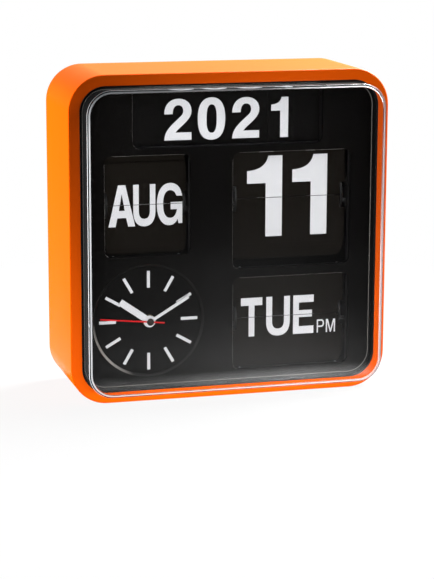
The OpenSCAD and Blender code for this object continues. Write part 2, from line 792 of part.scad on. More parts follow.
module hour_wheel() {
    color("gold") translate([dial_x, 0, dial_z]) difference() {
        union() {
            rod_y(hour_pipe_r, hour_pipe_end, hour_layer + wheel_t);
            gear_y(hour_teeth, motion_module, hour_layer, hour_layer + wheel_t, 180 / hour_teeth);
        }
        rod_y(minute_pipe_r + run_fit, hour_pipe_end - cut, hour_layer + wheel_t + cut);
    }
}

module set_knob() {
    motion_turn = 180 / motion_teeth;
    knob_turn = motion_teeth / knob_teeth * motion_turn + 180 + 180 / knob_teeth;
    color("dimgray") translate([dial_x + knob_off, 0, dial_z]) {
        rod_y(arbor_r, movement_y + plate_t / 2, motion_layer + wheel_t);
        gear_y(knob_teeth, motion_module, motion_layer - weld, motion_layer + wheel_t + weld, knob_turn);
        rod_y(knob_shaft_r, motion_layer + wheel_t, cover_out - weld);
        gear_y(knob_ribs, 2 * knob_r / (knob_ribs + 2 * addendum), cover_out - knob_t, cover_out);
    }
}

// Flap modules

// Moves to a drum's axis
module at_drum(s) { translate([mid_x(s), drum_y(s), split(s)]) children(); }

// Moves to the k-th leaf pin of a drum at rest
module at_pin(s, k) {
    angle = pin_angle(s, k);
    at_drum(s) translate([0, -pin_circle(s) * cos(angle), pin_circle(s) * sin(angle)]) children();
}

function arc(cx, cz, r, a0, a1) = [for (i = [0:arc_steps]) [cx, cz] + polar(r, a0 + (a1 - a0) * i / arc_steps)];

// One leaf, upright, with its hinge pins on the X axis
module leaf(s) {
    w = leaf_half(s);
    n = narrow_half(s);
    top = leaf_reach(s);
    shoulder = notch_h(s);
    outline = concat([[-n, -leaf_tail(s)], [n, -leaf_tail(s)], [n, shoulder], [w, shoulder]],
        arc(w - leaf_corner, top - leaf_corner, leaf_corner, 0, 90),
        arc(leaf_corner - w, top - leaf_corner, leaf_corner, 90, 180), [[-w, shoulder], [-n, shoulder]]);
    deep(-leaf_t / 2, leaf_t / 2) polygon(outline);
    for (side = [-1, 1]) translate([side * (n - weld), 0, 0]) rotate([0, side * 90, 0])
        cylinder(r = leaf_pin_r, h = weld + play + drum_flange_t, $fn = pin_facets);
}

module front_leaf(s) { color("black") at_pin(s, 0) leaf(s); }
module next_leaf(s) { color("black") at_pin(s, 1) leaf(s); }

// The other leaves: a fan behind the drum's top, then hanging to the lower leaf at the front
module leaves(s) {
    color("black") for (k = [2:count(s) - 1]) at_pin(s, k) rotate([-lean(pin_angle(s, k)), 0, 0]) leaf(s);
}

module drum(s) {
    color("dimgray") difference() {
        at_drum(s) {
            rod_x(spindle_r, -cheek_out(s), gear_out(s));
            rod_x(drum_tube_r, -flange_out(s), flange_out(s));
            rod_x(flange_r(s), -flange_out(s), -flange_in(s));
            rod_x(flange_r(s), flange_in(s), flange_out(s));
        }
        for (k = [0:count(s) - 1]) at_pin(s, k) {
            rod_x(leaf_pin_r + run_fit, -flange_out(s) - cut, -flange_in(s) + cut);
            rod_x(leaf_pin_r + run_fit, flange_in(s) - cut, flange_out(s) + cut);
        }
    }
}

module drum_gear(s) {
    color("ivory") at_drum(s) difference() {
        gear_x(drum_teeth, flap_module, gear_in(s), gear_out(s));
        rod_x(spindle_r + seat_fit, gear_in(s) - cut, gear_out(s) + cut);
    }
}

module motor_pinion(s) {
    color("gold") at_drum(s) translate([0, flap_centres, 0]) {
        gear_x(motor_teeth, flap_module, gear_in(s), gear_out(s), 180 + 180 / motor_teeth);
        rod_x(motor_shaft_r, gear_in(s), motor_in(s) + motor_len / 2);
    }
}

module flap_motor(s) {
    at_drum(s) translate([0, flap_centres, 0]) difference() {
        rod_x(motor_r, motor_in(s), motor_in(s) + motor_len);
        rod_x(motor_shaft_r + run_fit, motor_in(s) - cut, motor_in(s) + motor_len / 2 + play);
    }
}

module flap_motors() { color("silver") for (s = [MONTH, DATE, DAY]) flap_motor(s); }

module flap_frame(s) {
    motor_back = drum_y(s) + flap_centres + motor_r + play;
    rails = [for (side = [-1, 1]) rail_z(s, side)];
    color("dimgray") translate([mid_x(s), 0, 0]) difference() {
        union() {
            // Rails behind the panel, above and below the window
            for (z = rails) box(-cheek_out(s), cheek_out(s), panel_back, rail_back, z - rail_h / 2, z + rail_h / 2);
            for (side = [-1, 1]) {
                x0 = side < 0 ? -cheek_out(s) : cheek_in(s);
                box(x0, x0 + cheek_t, panel_back, rail_back, rails[0] - rail_h / 2, rails[1] + rail_h / 2);
                box(x0, x0 + cheek_t, panel_back, drum_y(s), split(s) - arm_h / 2, split(s) + arm_h / 2);
                translate([0, drum_y(s), split(s)]) rod_x(arm_h / 2, x0, x0 + cheek_t);
                // Catch tab in the leaves' notch
                reach = cheek_in(s) - flange_out(s) - play + weld;
                c0 = side < 0 ? -cheek_in(s) - weld : cheek_in(s) + weld - reach;
                box(c0, c0 + reach, leaf_y - catch_d / 2, leaf_y + catch_d / 2,
                    split(s) - catch_drop, split(s) - catch_drop + catch_h);
            }
            // Arm and plate that carry the motor
            box(cheek_in(s), cheek_out(s), drum_y(s), motor_back + motor_wall, split(s) - motor_r, split(s) + motor_r);
            box(cheek_in(s), motor_in(s) + motor_hold, motor_back, motor_back + motor_wall,
                split(s) - motor_r, split(s) + motor_r);
            box(plate_in(s), motor_in(s), motor_back - 2 * motor_r, motor_back + weld,
                split(s) - motor_r, split(s) + motor_r);
        }
        translate([0, drum_y(s), split(s)]) {
            rod_x(spindle_r + run_fit, -cheek_out(s) - cut, cheek_out(s) + cut);
            translate([0, flap_centres, 0]) rod_x(motor_shaft_r + play, plate_in(s) - cut, motor_in(s) + cut);
        }
        for (a = [-1, 1], z = rails) translate([a * (leaf_half(s) - rail_screw_in), 0, z])
            rod_y(frame_screw_r + screw_fit, panel_back - cut, rail_back + cut);
    }
}

// Back

// Where a cell bay's inside, door or rebate stands: an outline around a cell with a margin
module bay_block(x, cell_r, cell_len, margin, y0, y1) {
    half_w = cell_r + play + margin;
    half_h = cell_len / 2 + contact_room + margin;
    box(x - half_w, x + half_w, y0, y1, bay_z - half_h, bay_z + half_h);
}

module keyhole(r, slot_r, y0, y1) {
    translate([0, 0, keyhole_z]) {
        rod_y(r, y0, y1);
        box(-slot_r, slot_r, y0, y1, 0, keyhole_rise);
        translate([0, 0, keyhole_rise]) rod_y(slot_r, y0, y1);
    }
}

module back_cover() {
    d_front = d_cell_y - d_cell_r - play;
    aa_front = aa_cell_y - aa_cell_r - play;
    color("darkorange") difference() {
        union() {
            case_block(in_w - 2 * cover_gap, in_h - 2 * cover_gap, in_r - cover_gap, cover_in, cover_out);
            bay_block(d_bay_x, d_cell_r, d_cell_len, bay_t, d_front - bay_t, cover_in + weld);
            bay_block(aa_bay_x, aa_cell_r, aa_cell_len, bay_t, aa_front - bay_t, cover_in + weld);
            for (side = [-1, 1]) {
                translate([side * hanger_post_x, 0, hanger_mid])
                    rod_y(hanger_post_r, cover_in - hanger_t - play, cover_in + weld);
                translate([button_x + side * board_post_x, 0, button_z]) {
                    rod_y(board_post_r, board_y, cover_in + weld);
                    rod_y(board_pin_r, board_y - board_t - play, board_y + weld);
                }
            }
        }
        bay_block(d_bay_x, d_cell_r, d_cell_len, 0, d_front, cover_out + cut);
        bay_block(aa_bay_x, aa_cell_r, aa_cell_len, 0, aa_front, cover_out + cut);
        bay_block(d_bay_x, d_cell_r, d_cell_len, door_lip + door_gap, door_in, cover_out + cut);
        bay_block(aa_bay_x, aa_cell_r, aa_cell_len, door_lip + door_gap, door_in, cover_out + cut);
        keyhole(keyhole_r + hanger_margin, keyhole_slot_r + hanger_margin, cover_in - cut, cover_out + cut);
        translate([dial_x + knob_off, 0, dial_z]) rod_y(knob_r + 2 * play, cover_in - cut, cover_out + cut);
        for (k = [-1:1]) translate([button_x + k * button_pitch, 0, button_z])
            rod_y(button_r + run_fit, cover_in - cut, cover_out + cut);
        for (p = back_screw_at) translate([p[0], 0, p[1]]) rod_y(back_screw_r + play, cover_in - cut, cover_out + cut);
    }
}

module back_screws() {
    color("silver") for (p = back_screw_at) translate([p[0], 0, p[1]])
        screw(back_screw_r, back_head_r, cover_set, back_screw_len, cover_out);
}

module hanger_plate() {
    color("silver") difference() {
        box(-hanger_w / 2, hanger_w / 2, cover_in - hanger_t, cover_in, hanger_mid - hanger_h / 2, hanger_mid + hanger_h / 2);
        keyhole(keyhole_r, keyhole_slot_r, cover_in - hanger_t - cut, cover_in + cut);
        for (side = [-1, 1]) translate([side * hanger_post_x, 0, hanger_mid])
            rod_y(hanger_post_r + seat_fit, cover_in - hanger_t - cut, cover_in + cut);
    }
}

module calendar_cell_door() {
    color("darkorange") bay_block(d_bay_x, d_cell_r, d_cell_len, door_lip, door_in, cover_out);
}

module clock_cell_door() {
    color("darkorange") bay_block(aa_bay_x, aa_cell_r, aa_cell_len, door_lip, door_in, cover_out);
}

// A dry cell standing on Z, with its button on top
module cell(r, len) {
    button_h = contact_room / 2;
    cylinder(r = r, h = len - button_h);
    cylinder(r = r * nub_share, h = len);
}

module calendar_cell() { color("dimgray") translate([d_bay_x, d_cell_y, bay_z - d_cell_len / 2]) cell(d_cell_r, d_cell_len); }
module clock_cell() { color("dimgray") translate([aa_bay_x, aa_cell_y, bay_z - aa_cell_len / 2]) cell(aa_cell_r, aa_cell_len); }

// A contact plate against a bay's end wall, with a stub that reaches its cell
module contact(w, up) {
    mirror([0, 0, up]) {
        translate([0, 0, -contact_room]) cylinder(r = w * stub_share, h = contact_room);
        box(-w / 2, w / 2, -w / 2, w / 2, -contact_room, contact_t - contact_room);
    }
}

module cell_contacts() {
    color("silver") for (up = [0, 1]) {
        side = 2 * up - 1;
        translate([d_bay_x, d_cell_y, bay_z + side * d_cell_len / 2]) contact(2 * contact_share * d_cell_r, up);
        translate([aa_bay_x, aa_cell_y, bay_z + side * aa_cell_len / 2]) contact(2 * contact_share * aa_cell_r, up);
    }
}

module control_board() {
    color("darkgreen") translate([button_x, 0, button_z]) difference() {
        union() {
            box(-board_w / 2, board_w / 2, board_y - board_t, board_y, -board_h / 2, board_h / 2);
            for (k = [-1:1]) translate([k * button_pitch, 0, 0])
                box(-switch_w / 2, switch_w / 2, board_y - weld, board_y + switch_h, -switch_w / 2, switch_w / 2);
        }
        for (side = [-1, 1]) translate([side * board_post_x, 0, 0])
            rod_y(board_pin_r + seat_fit, board_y - board_t - cut, board_y + cut);
    }
}

module set_button(k) {
    color("gray") translate([button_x + k * button_pitch, 0, button_z]) {
        rod_y(button_r, button_root, button_face);
        rod_y(button_r + button_flange, button_root, button_root + button_flange_t);
        rod_y(button_stem_r, board_y + switch_h + button_travel + play, button_root + weld);
    }
}

case_shell();
front_lens();
dial_panel();
panel_screws();
dial_disc();
hour_markers();
year_holder();
year_card();
year_digit();
back_cover();
back_screws();
hanger_plate();
calendar_cell_door();
clock_cell_door();
calendar_cell();
clock_cell();
cell_contacts();
control_board();
set_button(-1);  // month_button
set_button(0);  // date_button
set_button(1);  // day_button
movement_plate();
movement_cover();
stem_nut();
step_coil();
second_arbor();
third_wheel();
minute_wheel();
motion_wheel();
hour_wheel();
set_knob();
hour_hand();
minute_hand();
second_hand();
hand_cap();
flap_frame(MONTH);  // month_frame
drum(MONTH);  // month_drum
drum_gear(MONTH);  // month_gear
leaves(MONTH);  // month_leaves
front_leaf(MONTH);  // month_front_leaf
next_leaf(MONTH);  // month_next_leaf
motor_pinion(MONTH);  // month_pinion
flap_frame(DATE);  // date_frame
drum(DATE);  // date_drum
drum_gear(DATE);  // date_gear
leaves(DATE);  // date_leaves
front_leaf(DATE);  // date_front_leaf
next_leaf(DATE);  // date_next_leaf
motor_pinion(DATE);  // date_pinion
flap_frame(DAY);  // day_frame
drum(DAY);  // day_drum
drum_gear(DAY);  // day_gear
leaves(DAY);  // day_leaves
front_leaf(DAY);  // day_front_leaf
next_leaf(DAY);  // day_next_leaf
motor_pinion(DAY);  // day_pinion
flap_motors();
frame_screws();
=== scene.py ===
"""Dresses the flip-calendar wall clock: orange case, box lens, black panel, printed flaps, small dial."""

import json
import logging
import math
from collections.abc import Callable
from dataclasses import dataclass, field
from enum import Enum
from typing import Any

import bmesh
import bpy
from mathutils import Matrix, Vector

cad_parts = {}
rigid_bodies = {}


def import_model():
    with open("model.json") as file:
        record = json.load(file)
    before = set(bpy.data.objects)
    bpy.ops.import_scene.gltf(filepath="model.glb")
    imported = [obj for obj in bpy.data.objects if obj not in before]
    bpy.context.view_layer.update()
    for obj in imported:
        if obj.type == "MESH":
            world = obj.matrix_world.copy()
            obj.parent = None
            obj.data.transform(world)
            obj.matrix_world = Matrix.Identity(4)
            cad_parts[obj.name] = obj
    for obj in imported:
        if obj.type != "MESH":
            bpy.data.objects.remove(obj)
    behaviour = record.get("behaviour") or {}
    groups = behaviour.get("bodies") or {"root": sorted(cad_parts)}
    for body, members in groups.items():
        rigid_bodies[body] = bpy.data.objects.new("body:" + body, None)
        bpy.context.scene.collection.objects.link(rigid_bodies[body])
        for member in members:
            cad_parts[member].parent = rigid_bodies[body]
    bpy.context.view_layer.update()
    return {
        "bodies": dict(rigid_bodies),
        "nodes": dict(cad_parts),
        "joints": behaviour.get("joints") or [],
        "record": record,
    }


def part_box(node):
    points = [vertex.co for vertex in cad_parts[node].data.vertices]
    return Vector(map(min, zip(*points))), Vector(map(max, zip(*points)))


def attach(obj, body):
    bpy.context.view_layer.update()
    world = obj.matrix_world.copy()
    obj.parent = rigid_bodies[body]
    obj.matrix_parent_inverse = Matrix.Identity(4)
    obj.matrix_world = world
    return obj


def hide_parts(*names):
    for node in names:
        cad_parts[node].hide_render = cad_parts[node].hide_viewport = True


LOG = logging.getLogger("clock")
MM = 0.001
Colour = tuple[float, float, float]
Spot = tuple[float, float, float]
Span = tuple[float, float]
Spans = tuple[Span, ...]
Face = bmesh.types.BMFace
Edge = bmesh.types.BMEdge

WHITE: Colour = (1.0, 1.0, 1.0)
EVEN: Spot = (1.0, 1.0, 1.0)
FRONT: Spot = (0.0, -1.0, 0.0)
BACK: Spot = (0.0, 1.0, 0.0)
# Middles of the case and of the dial in X and Z, and the front of the leaves in Y, in millimetres
MIDDLE: Span = (0.0, 120.0)
DIAL: Span = (-61.0, 59.2)
LEAF_PLANE = -17.5
# The Y of a normal on an upright wall
UPRIGHT: Span = (-0.1, 0.1)
# How far a vertex or a face may lie from a depth and still count as there, in millimetres
NEAR = 0.01
READINGS = ("month", "date", "day")
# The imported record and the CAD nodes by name, once they are loaded
FRAME: dict[str, Any] = {}


def linear(red: int, green: int, blue: int) -> Colour:
    """Turns a colour of 0 to 255, as a screen shows it, into scene-linear values by the sRGB curve.

    Args:
        red: Red share.
        green: Green share.
        blue: Blue share.

    Returns:
        The three linear values.
    """
    shares = (part / 255 for part in (red, green, blue))
    return tuple(part / 12.92 if part <= 0.04045 else ((part + 0.055) / 1.055) ** 2.4 for part in shares)


def within(value: float, span: Span) -> bool:
    """True for a value inside a span."""
    return span[0] < value < span[1]


def outward(face: Face, spot: Vector) -> float:
    """How much a face at a spot points away from the middle of the case."""
    return face.normal.dot(Vector((spot.x - MIDDLE[0], 0.0, spot.z - MIDDLE[1])))


def domed(radius: float, top: float, base: float, dome: Spans) -> list[Span]:
    """The profile of a turned head with a flat foot.

    Args:
        radius: Its radius.
        top: Depth of its middle.
        base: Depth of its foot.
        dome: Shares of the radius, and how far the top has fallen there.

    Returns:
        Radius and depth of each point, from the axis out and back to it.
    """
    way = math.copysign(1.0, base - top)
    crown = [(share * radius, top + way * fall) for share, fall in dome]
    return [*crown, (radius, base), (0.0, base)]


@dataclass(frozen=True)
class Pattern:
    """A noise pattern: its scale, its detail and how it is stretched along each axis."""

    scale: float
    detail: float = 2.0
    stretch: Spot = EVEN


class Sock:
    """An output socket that takes part in Python arithmetic."""

    def __init__(self, tree: "Tree", socket: bpy.types.NodeSocket) -> None:
        """Keeps the tree and the socket."""
        self.tree = tree
        self.socket = socket

    def __add__(self, other: "Sock | float") -> "Sock":
        """Sum."""
        return self.tree.maths("ADD", self, other)

    __radd__ = __add__

    def __mul__(self, other: "Sock | float") -> "Sock":
        """Product."""
        return self.tree.maths("MULTIPLY", self, other)

    __rmul__ = __mul__

    def __sub__(self, other: "Sock | float") -> "Sock":
        """Difference."""
        return self.tree.maths("SUBTRACT", self, other)

    def __rsub__(self, other: "Sock | float") -> "Sock":
        """Difference from a number."""
        return self.tree.maths("SUBTRACT", other, self)


class Tree:
    """A node tree that is filled through one node-making method."""

    def __init__(self, tree: bpy.types.NodeTree) -> None:
        """Empties the tree."""
        self.tree = tree
        tree.nodes.clear()

    def node(
        self, kind: str, settings: dict | None = None, sockets: dict | None = None, out: int | str = 0,
    ) -> Sock:
        """Adds a node.

        Args:
            kind: The node's type.
            settings: Properties, set first; stops are a ramp's places and colours.
            sockets: Values or links of its inputs, by name or number.
            out: The output to return.

        Returns:
            The chosen output.
        """
        made = self.tree.nodes.new(kind)
        for name, value in (settings or {}).items():
            if name == "stops":
                elements = made.color_ramp.elements
                while len(elements) < len(value):
                    elements.new(1.0)
                for element, (place, colour) in zip(elements, value):
                    element.position = place
                    element.color = (*colour, 1.0)
            else:
                setattr(made, name, value)
        for name, value in (sockets or {}).items():
            target = made.inputs[name]
            if isinstance(value, Sock):
                self.tree.links.new(value.socket, target)
            elif target.type == "RGBA" and len(value) == 3:
                target.default_value = (*value, 1.0)
            else:
                target.default_value = value
        return Sock(self, made.outputs[out] if made.outputs else None)

    def maths(self, operation: str, first: Sock | float, second: Sock | float) -> Sock:
        """A Math node on two values."""
        return self.node("ShaderNodeMath", {"operation": operation}, {0: first, 1: second})

    def place(self, stretch: Spot = EVEN) -> Sock:
        """Object coordinates, stretched along each axis."""
        coords = self.node("ShaderNodeTexCoord", out="Object")
        return self.node("ShaderNodeMapping", {}, {"Vector": coords, "Scale": stretch})

    def axis(self, name: str, coords: Sock | None = None) -> Sock:
        """X, Y or Z of some coordinates, or else of the object's own."""
        return self.node("ShaderNodeSeparateXYZ", {}, {0: coords or self.place()}, name)

    def noise(self, pattern: Pattern) -> Sock:
        """Noise over the object, from 0 to 1."""
        sockets = {"Vector": self.place(pattern.stretch), "Scale": pattern.scale, "Detail": pattern.detail}
        return self.node("ShaderNodeTexNoise", {}, sockets)

    def share(self, value: Sock, span: Span) -> Sock:
        """Where a value lies in a span, held between 0 and 1."""
        along = (value - span[0]) * (1 / (span[1] - span[0]))
        return self.maths("MAXIMUM", self.maths("MINIMUM", along, 1.0), 0.0)

    def between(self, span: Span, share: Sock) -> Sock:
        """The value at a share of the way through a span."""
        return span[0] + (span[1] - span[0]) * share

    def uneven(self, middle: float, spread: float, pattern: Sock) -> Sock:
        """A value that a pattern moves about its middle."""
        return self.between((middle - spread / 2, middle + spread / 2), pattern)

    def blend(
        self, factor: Sock | float, first: Sock | Colour, second: Sock | Colour, way: str = "MIX",
    ) -> Sock:
        """Mixes or multiplies two colours."""
        settings = {"data_type": "RGBA", "blend_type": way}
        return self.node("ShaderNodeMix", settings, {0: factor, 6: first, 7: second}, 2)

    def greys(self, value: Sock, stops: Spans) -> Sock:
        """A ramp of greys, with a place and a tone for each stop."""
        colours = [(place, (tone,) * 3) for place, tone in stops]
        return self.node("ShaderNodeValToRGB", {"stops": colours}, {0: value})

    def ray(self, kind: str) -> Sock:
        """What the light path says of a ray."""
        return self.node("ShaderNodeLightPath", out=kind)

    def bump(self, height: Sock, strength: float, distance: float) -> Sock:
        """A Normal from a height."""
        sockets = {"Height": height, "Strength": strength, "Distance": distance}
        return self.node("ShaderNodeBump", {}, sockets)

    def principled(self, sockets: dict) -> Sock:
        """A Principled shader."""
        return self.node("ShaderNodeBsdfPrincipled", {}, sockets)

    def surface(self, shader: Sock) -> None:
        """Sends a shader to the material's output."""
        self.node("ShaderNodeOutputMaterial", {}, {"Surface": shader})

    def coat(self, sockets: dict) -> None:
        """Sends a Principled shader to the material's output."""
        self.surface(self.principled(sockets))


class Slot(Enum):
    """The record's material slots."""

    ORANGE = "orange_plastic"
    CLEAR = "clear_acrylic"
    PANEL = "black_panel"
    INK = "white_print"
    RED = "red_paint"
    CAP = "cap_brown"
    CARD = "printed_card"
    BLACK = "black_moulding"
    WHITE = "white_moulding"
    BRASS = "brass"
    STEEL = "steel"
    CELL = "cell_jacket"
    BOARD = "board_green"
    COPPER = "coil_copper"
    BUTTON = "grey_button"


@dataclass(frozen=True)
class Finish:
    """A finish with its slot and kind; the subclasses draw it."""

    slot: Slot
    kind: str = field(default="finish", kw_only=True)

    def material(self) -> bpy.types.Material:
        """The node material, made once for each slot and kind.

        Returns:
            The material.
        """
        name = f"{self.kind}_{self.slot.value}"
        made = bpy.data.materials.get(name)
        if made is None:
            made = bpy.data.materials.new(name)
            made.use_nodes = True
            self.draw(Tree(made.node_tree))
        return made

    def draw(self, tree: Tree) -> None:
        """Fills the material's nodes."""
        raise NotImplementedError


@dataclass(frozen=True)
class Grained(Finish):
    """Two tones, uneven gloss and a fine relief; wear and grain without a pattern follow the tones."""

    colour: Colour
    shade: Colour
    roughness: float
    relief: float = 0.05
    gloss: float = 0.5
    metallic: float = 0.0
    tone: Pattern = Pattern(14.0, 3.0)
    wear: Pattern | None = None
    grain: Pattern | None = None
    spread: float = 0.12
    depth: float = 0.1 * MM

    def draw(self, tree: Tree) -> None:
        """Draws tone, gloss and grain."""
        tone = tree.noise(self.tone)
        wear = tree.noise(self.wear) if self.wear else tone
        grain = tree.noise(self.grain) if self.grain else tone
        tree.coat({
            "Base Color": tree.blend(tone, self.colour, self.shade),
            "Metallic": self.metallic,
            "Roughness": tree.uneven(self.roughness, self.spread, wear),
            "Specular IOR Level": self.gloss,
            "Normal": tree.bump(grain, self.relief, self.depth),
        })


@dataclass(frozen=True)
class Moulded(Grained):
    """Moulded plastic: faint flow tones, uneven gloss and a fine eroded grain."""

    grain: Pattern | None = Pattern(2600.0)
    depth: float = 0.2 * MM


@dataclass(frozen=True)
class Sheet(Grained):
    """Calendered plastic sheet: fine streaks along its length and a speckled, soft shine."""

    relief: float = 0.04
    tone: Pattern = Pattern(900.0, 2.0, (1.0, 1.0, 0.06))
    wear: Pattern | None = Pattern(2200.0, 1.0)
    spread: float = 0.1


@dataclass(frozen=True)
class Metal(Grained):
    """Drawn or turned metal, with fine lines in tone, gloss and relief."""

    relief: float = 0.06
    metallic: float = 1.0
    tone: Pattern = Pattern(700.0, 3.0, (1.0, 1.0, 12.0))
    spread: float = 0.16


@dataclass(frozen=True)
class PaintedDialGlint(Finish):
    """The chamfer round the dial with a painted highlight: bright at the lower left, fading to the panel's
    black.
    """

    # The painted highlight's colour, and the panel's black that it fades to
    lit: Colour = linear(150, 145, 139)
    dark: Colour = linear(17, 16, 15)
    slant: Span = (-0.8, -0.6)
    fade: Span = (0.033, 0.0405)
    mottle: Pattern = Pattern(500.0)
    smears: Pattern = Pattern(90.0)

    def draw(self, tree: Tree) -> None:
        """Paints the highlight along the chamfer."""
        across = tree.axis("X") - DIAL[0] * MM
        up = tree.axis("Z") - DIAL[1] * MM
        painted_glint = tree.share(across * self.slant[0] + up * self.slant[1], self.fade)
        mottled = tree.uneven(1.0, 0.4, tree.noise(self.mottle))
        tree.coat({
            "Base Color": tree.blend(painted_glint * mottled, self.dark, self.lit),
            "Roughness": tree.between((0.3, 0.4), tree.noise(self.smears)),
            "Specular IOR Level": 0.2,
        })


@dataclass(frozen=True)
class Acrylic(Finish):
    """Clear acrylic that lets the lamps through."""

    tint: Colour = (0.985, 0.99, 0.992)
    dust: Colour = (0.95, 0.96, 0.965)
    wiping: Pattern = Pattern(60.0, 4.0, (1.0, 1.0, 0.4))

    def draw(self, tree: Tree) -> None:
        """Draws polished clear plastic with a trace of wiping marks."""
        wipe = tree.noise(self.wiping)
        clear = tree.principled({
            "Base Color": tree.blend(wipe, self.tint, self.dust),
            "Roughness": 0.0,
            "IOR": 1.49,
            "Transmission Weight": 1.0,
        })
        lamps = tree.ray("Is Shadow Ray")
        open_way = tree.node("ShaderNodeBsdfTransparent", {}, {"Color": self.tint})
        tree.surface(tree.node("ShaderNodeMixShader", {}, {0: lamps, 1: clear, 2: open_way}))


@dataclass(frozen=True)
class AcrylicShadeVeil(Finish):
    """The lens's thin side walls: a veil of painted shade at the upper left, which also shades the band
    behind it from the lamps, thinning out to a pale painted sheen towards the lower right.
    """

    # Painted shade, dark and dense at the upper left, and painted sheen, pale and thin at the lower right
    painted_shade_tone: Colour = (0.008, 0.0082, 0.0085)
    painted_sheen_tone: Colour = (0.16, 0.162, 0.16)
    cover: Span = (0.45, 0.03)
    corner: Span = (-0.111, 0.231)
    fade: Span = (8.0, 2.4)
    streaks: Pattern = Pattern(300.0, 3.0, (0.05, 1.0, 0.05))

    def draw(self, tree: Tree) -> None:
        """Paints the veil of shade and sheen along the walls, with streaks."""
        across = tree.axis("X") - self.corner[0]
        down = self.corner[1] - tree.axis("Z")
        near = tree.maths("MINIMUM", across * self.fade[0] + down * self.fade[1], 1.0)
        streak = tree.noise(self.streaks)
        tree.coat({
            "Base Color": tree.blend(near * near * tree.uneven(1.0, 0.8, streak), self.painted_shade_tone, self.painted_sheen_tone),
            "Roughness": 0.6,
            "Specular IOR Level": 0.0,
            "Alpha": tree.between(self.cover, near),
        })


@dataclass(frozen=True)
class AcrylicPaintedLine(Finish):
    """A streaked line painted along the lens's rounded front edge; a pale one is a painted highlight, a dark
    one painted shade.
    """

    tone: Colour
    streak: Colour
    cover: Span
    roughness: float
    gloss: float
    streaks: Pattern
    upper: Colour | None = None
    fade: Span = (0.2, 0.228)

    def draw(self, tree: Tree) -> None:
        """Paints the line's streaks, and another tone near the top where the line has one; there the
        highlight is painted dimmer.
        """
        streak = tree.noise(self.streaks)
        colour = tree.blend(streak, self.tone, self.streak)
        if self.upper:
            colour = tree.blend(tree.share(tree.axis("Z"), self.fade), colour, self.upper)
        tree.coat({
            "Base Color": colour,
            "Roughness": self.roughness,
            "Specular IOR Level": self.gloss,
            "Alpha": tree.between(self.cover, streak),
        })


@dataclass(frozen=True)
class CellJacket(Finish):
    """A dry cell's jacket: a dark body between pale bands."""

    body: Colour = linear(38, 40, 44)
    band: Colour = linear(176, 178, 180)
    grime: Colour = (0.02, 0.02, 0.02)
    foot: float = 0.03
    length: float = 0.0625
    dirt: float = 0.12
    soiling: Pattern = Pattern(500.0)
    smears: Pattern = Pattern(90.0)

    def draw(self, tree: Tree) -> None:
        """Draws the jacket's bands over its height."""
        stops = [(0.0, self.band), (0.08, self.body), (0.66, self.body), (0.7, self.band)]
        along = (tree.axis("Z") - self.foot) * (1 / self.length)
        bands = tree.node("ShaderNodeValToRGB", {"stops": stops}, {0: along})
        tree.coat({
            "Base Color": tree.blend(self.dirt * tree.noise(self.soiling), bands, self.grime),
            "Roughness": tree.between((0.3, 0.4), tree.noise(self.smears)),
        })


@dataclass(frozen=True)
class BoardLacquer(Finish):
    """A circuit board: green lacquer over copper tracks."""

    lacquer: Colour = linear(18, 74, 42)
    track: Colour = linear(58, 128, 66)
    pitch: float = 120.0
    smears: Pattern = Pattern(300.0)
    relief: float = 0.1
    depth: float = 0.05 * MM

    def draw(self, tree: Tree) -> None:
        """Draws tracks as a wave pattern under the lacquer."""
        sockets = {"Vector": tree.place(), "Scale": self.pitch, "Distortion": 1.5, "Detail": 1.0}
        wave = tree.node("ShaderNodeTexWave", {"bands_direction": "Z"}, sockets, "Fac")
        tree.coat({
            "Base Color": tree.blend(wave, self.lacquer, self.track),
            "Roughness": tree.between((0.35, 0.45), tree.noise(self.smears)),
            "Normal": tree.bump(wave, self.relief, self.depth),
        })


# A finer grain than most mouldings have, for polished and printed faces
FINE = Pattern(6000.0)

FINISHES: dict[Slot, Finish] = {made.slot: made for made in (
    Moulded(Slot.ORANGE, linear(227, 87, 4), linear(223, 83, 3), 0.38, gloss=0.12),
    Acrylic(Slot.CLEAR),
    Moulded(Slot.PANEL, linear(6, 5, 5), linear(9, 8, 7), 0.55, 0.02, 0.06, grain=FINE),
    Moulded(Slot.INK, linear(222, 221, 223), linear(214, 213, 216), 0.5, 0.03, 0.3, grain=FINE),
    Moulded(Slot.RED, linear(226, 18, 26), linear(206, 14, 20), 0.35),
    Moulded(Slot.CAP, linear(48, 38, 33), linear(34, 27, 24), 0.4),
    Sheet(Slot.CARD, linear(15, 12, 10), linear(22, 19, 15), 0.6, gloss=0.1),
    Moulded(Slot.BLACK, linear(17, 16, 16), linear(24, 23, 22), 0.5),
    Moulded(Slot.WHITE, linear(222, 217, 200), linear(208, 202, 184), 0.45),
    Metal(Slot.BRASS, (0.78, 0.58, 0.26), (0.66, 0.47, 0.2), 0.28),
    Metal(Slot.STEEL, (0.66, 0.66, 0.68), (0.5, 0.5, 0.52), 0.3),
    CellJacket(Slot.CELL),
    BoardLacquer(Slot.BOARD),
    Metal(
        Slot.COPPER, (0.72, 0.36, 0.18), (0.55, 0.24, 0.11), 0.35,
        tone=Pattern(700.0, 3.0, (14.0, 1.0, 1.0)),
    ),
    Moulded(Slot.BUTTON, linear(120, 120, 122), linear(104, 104, 106), 0.45),
)}
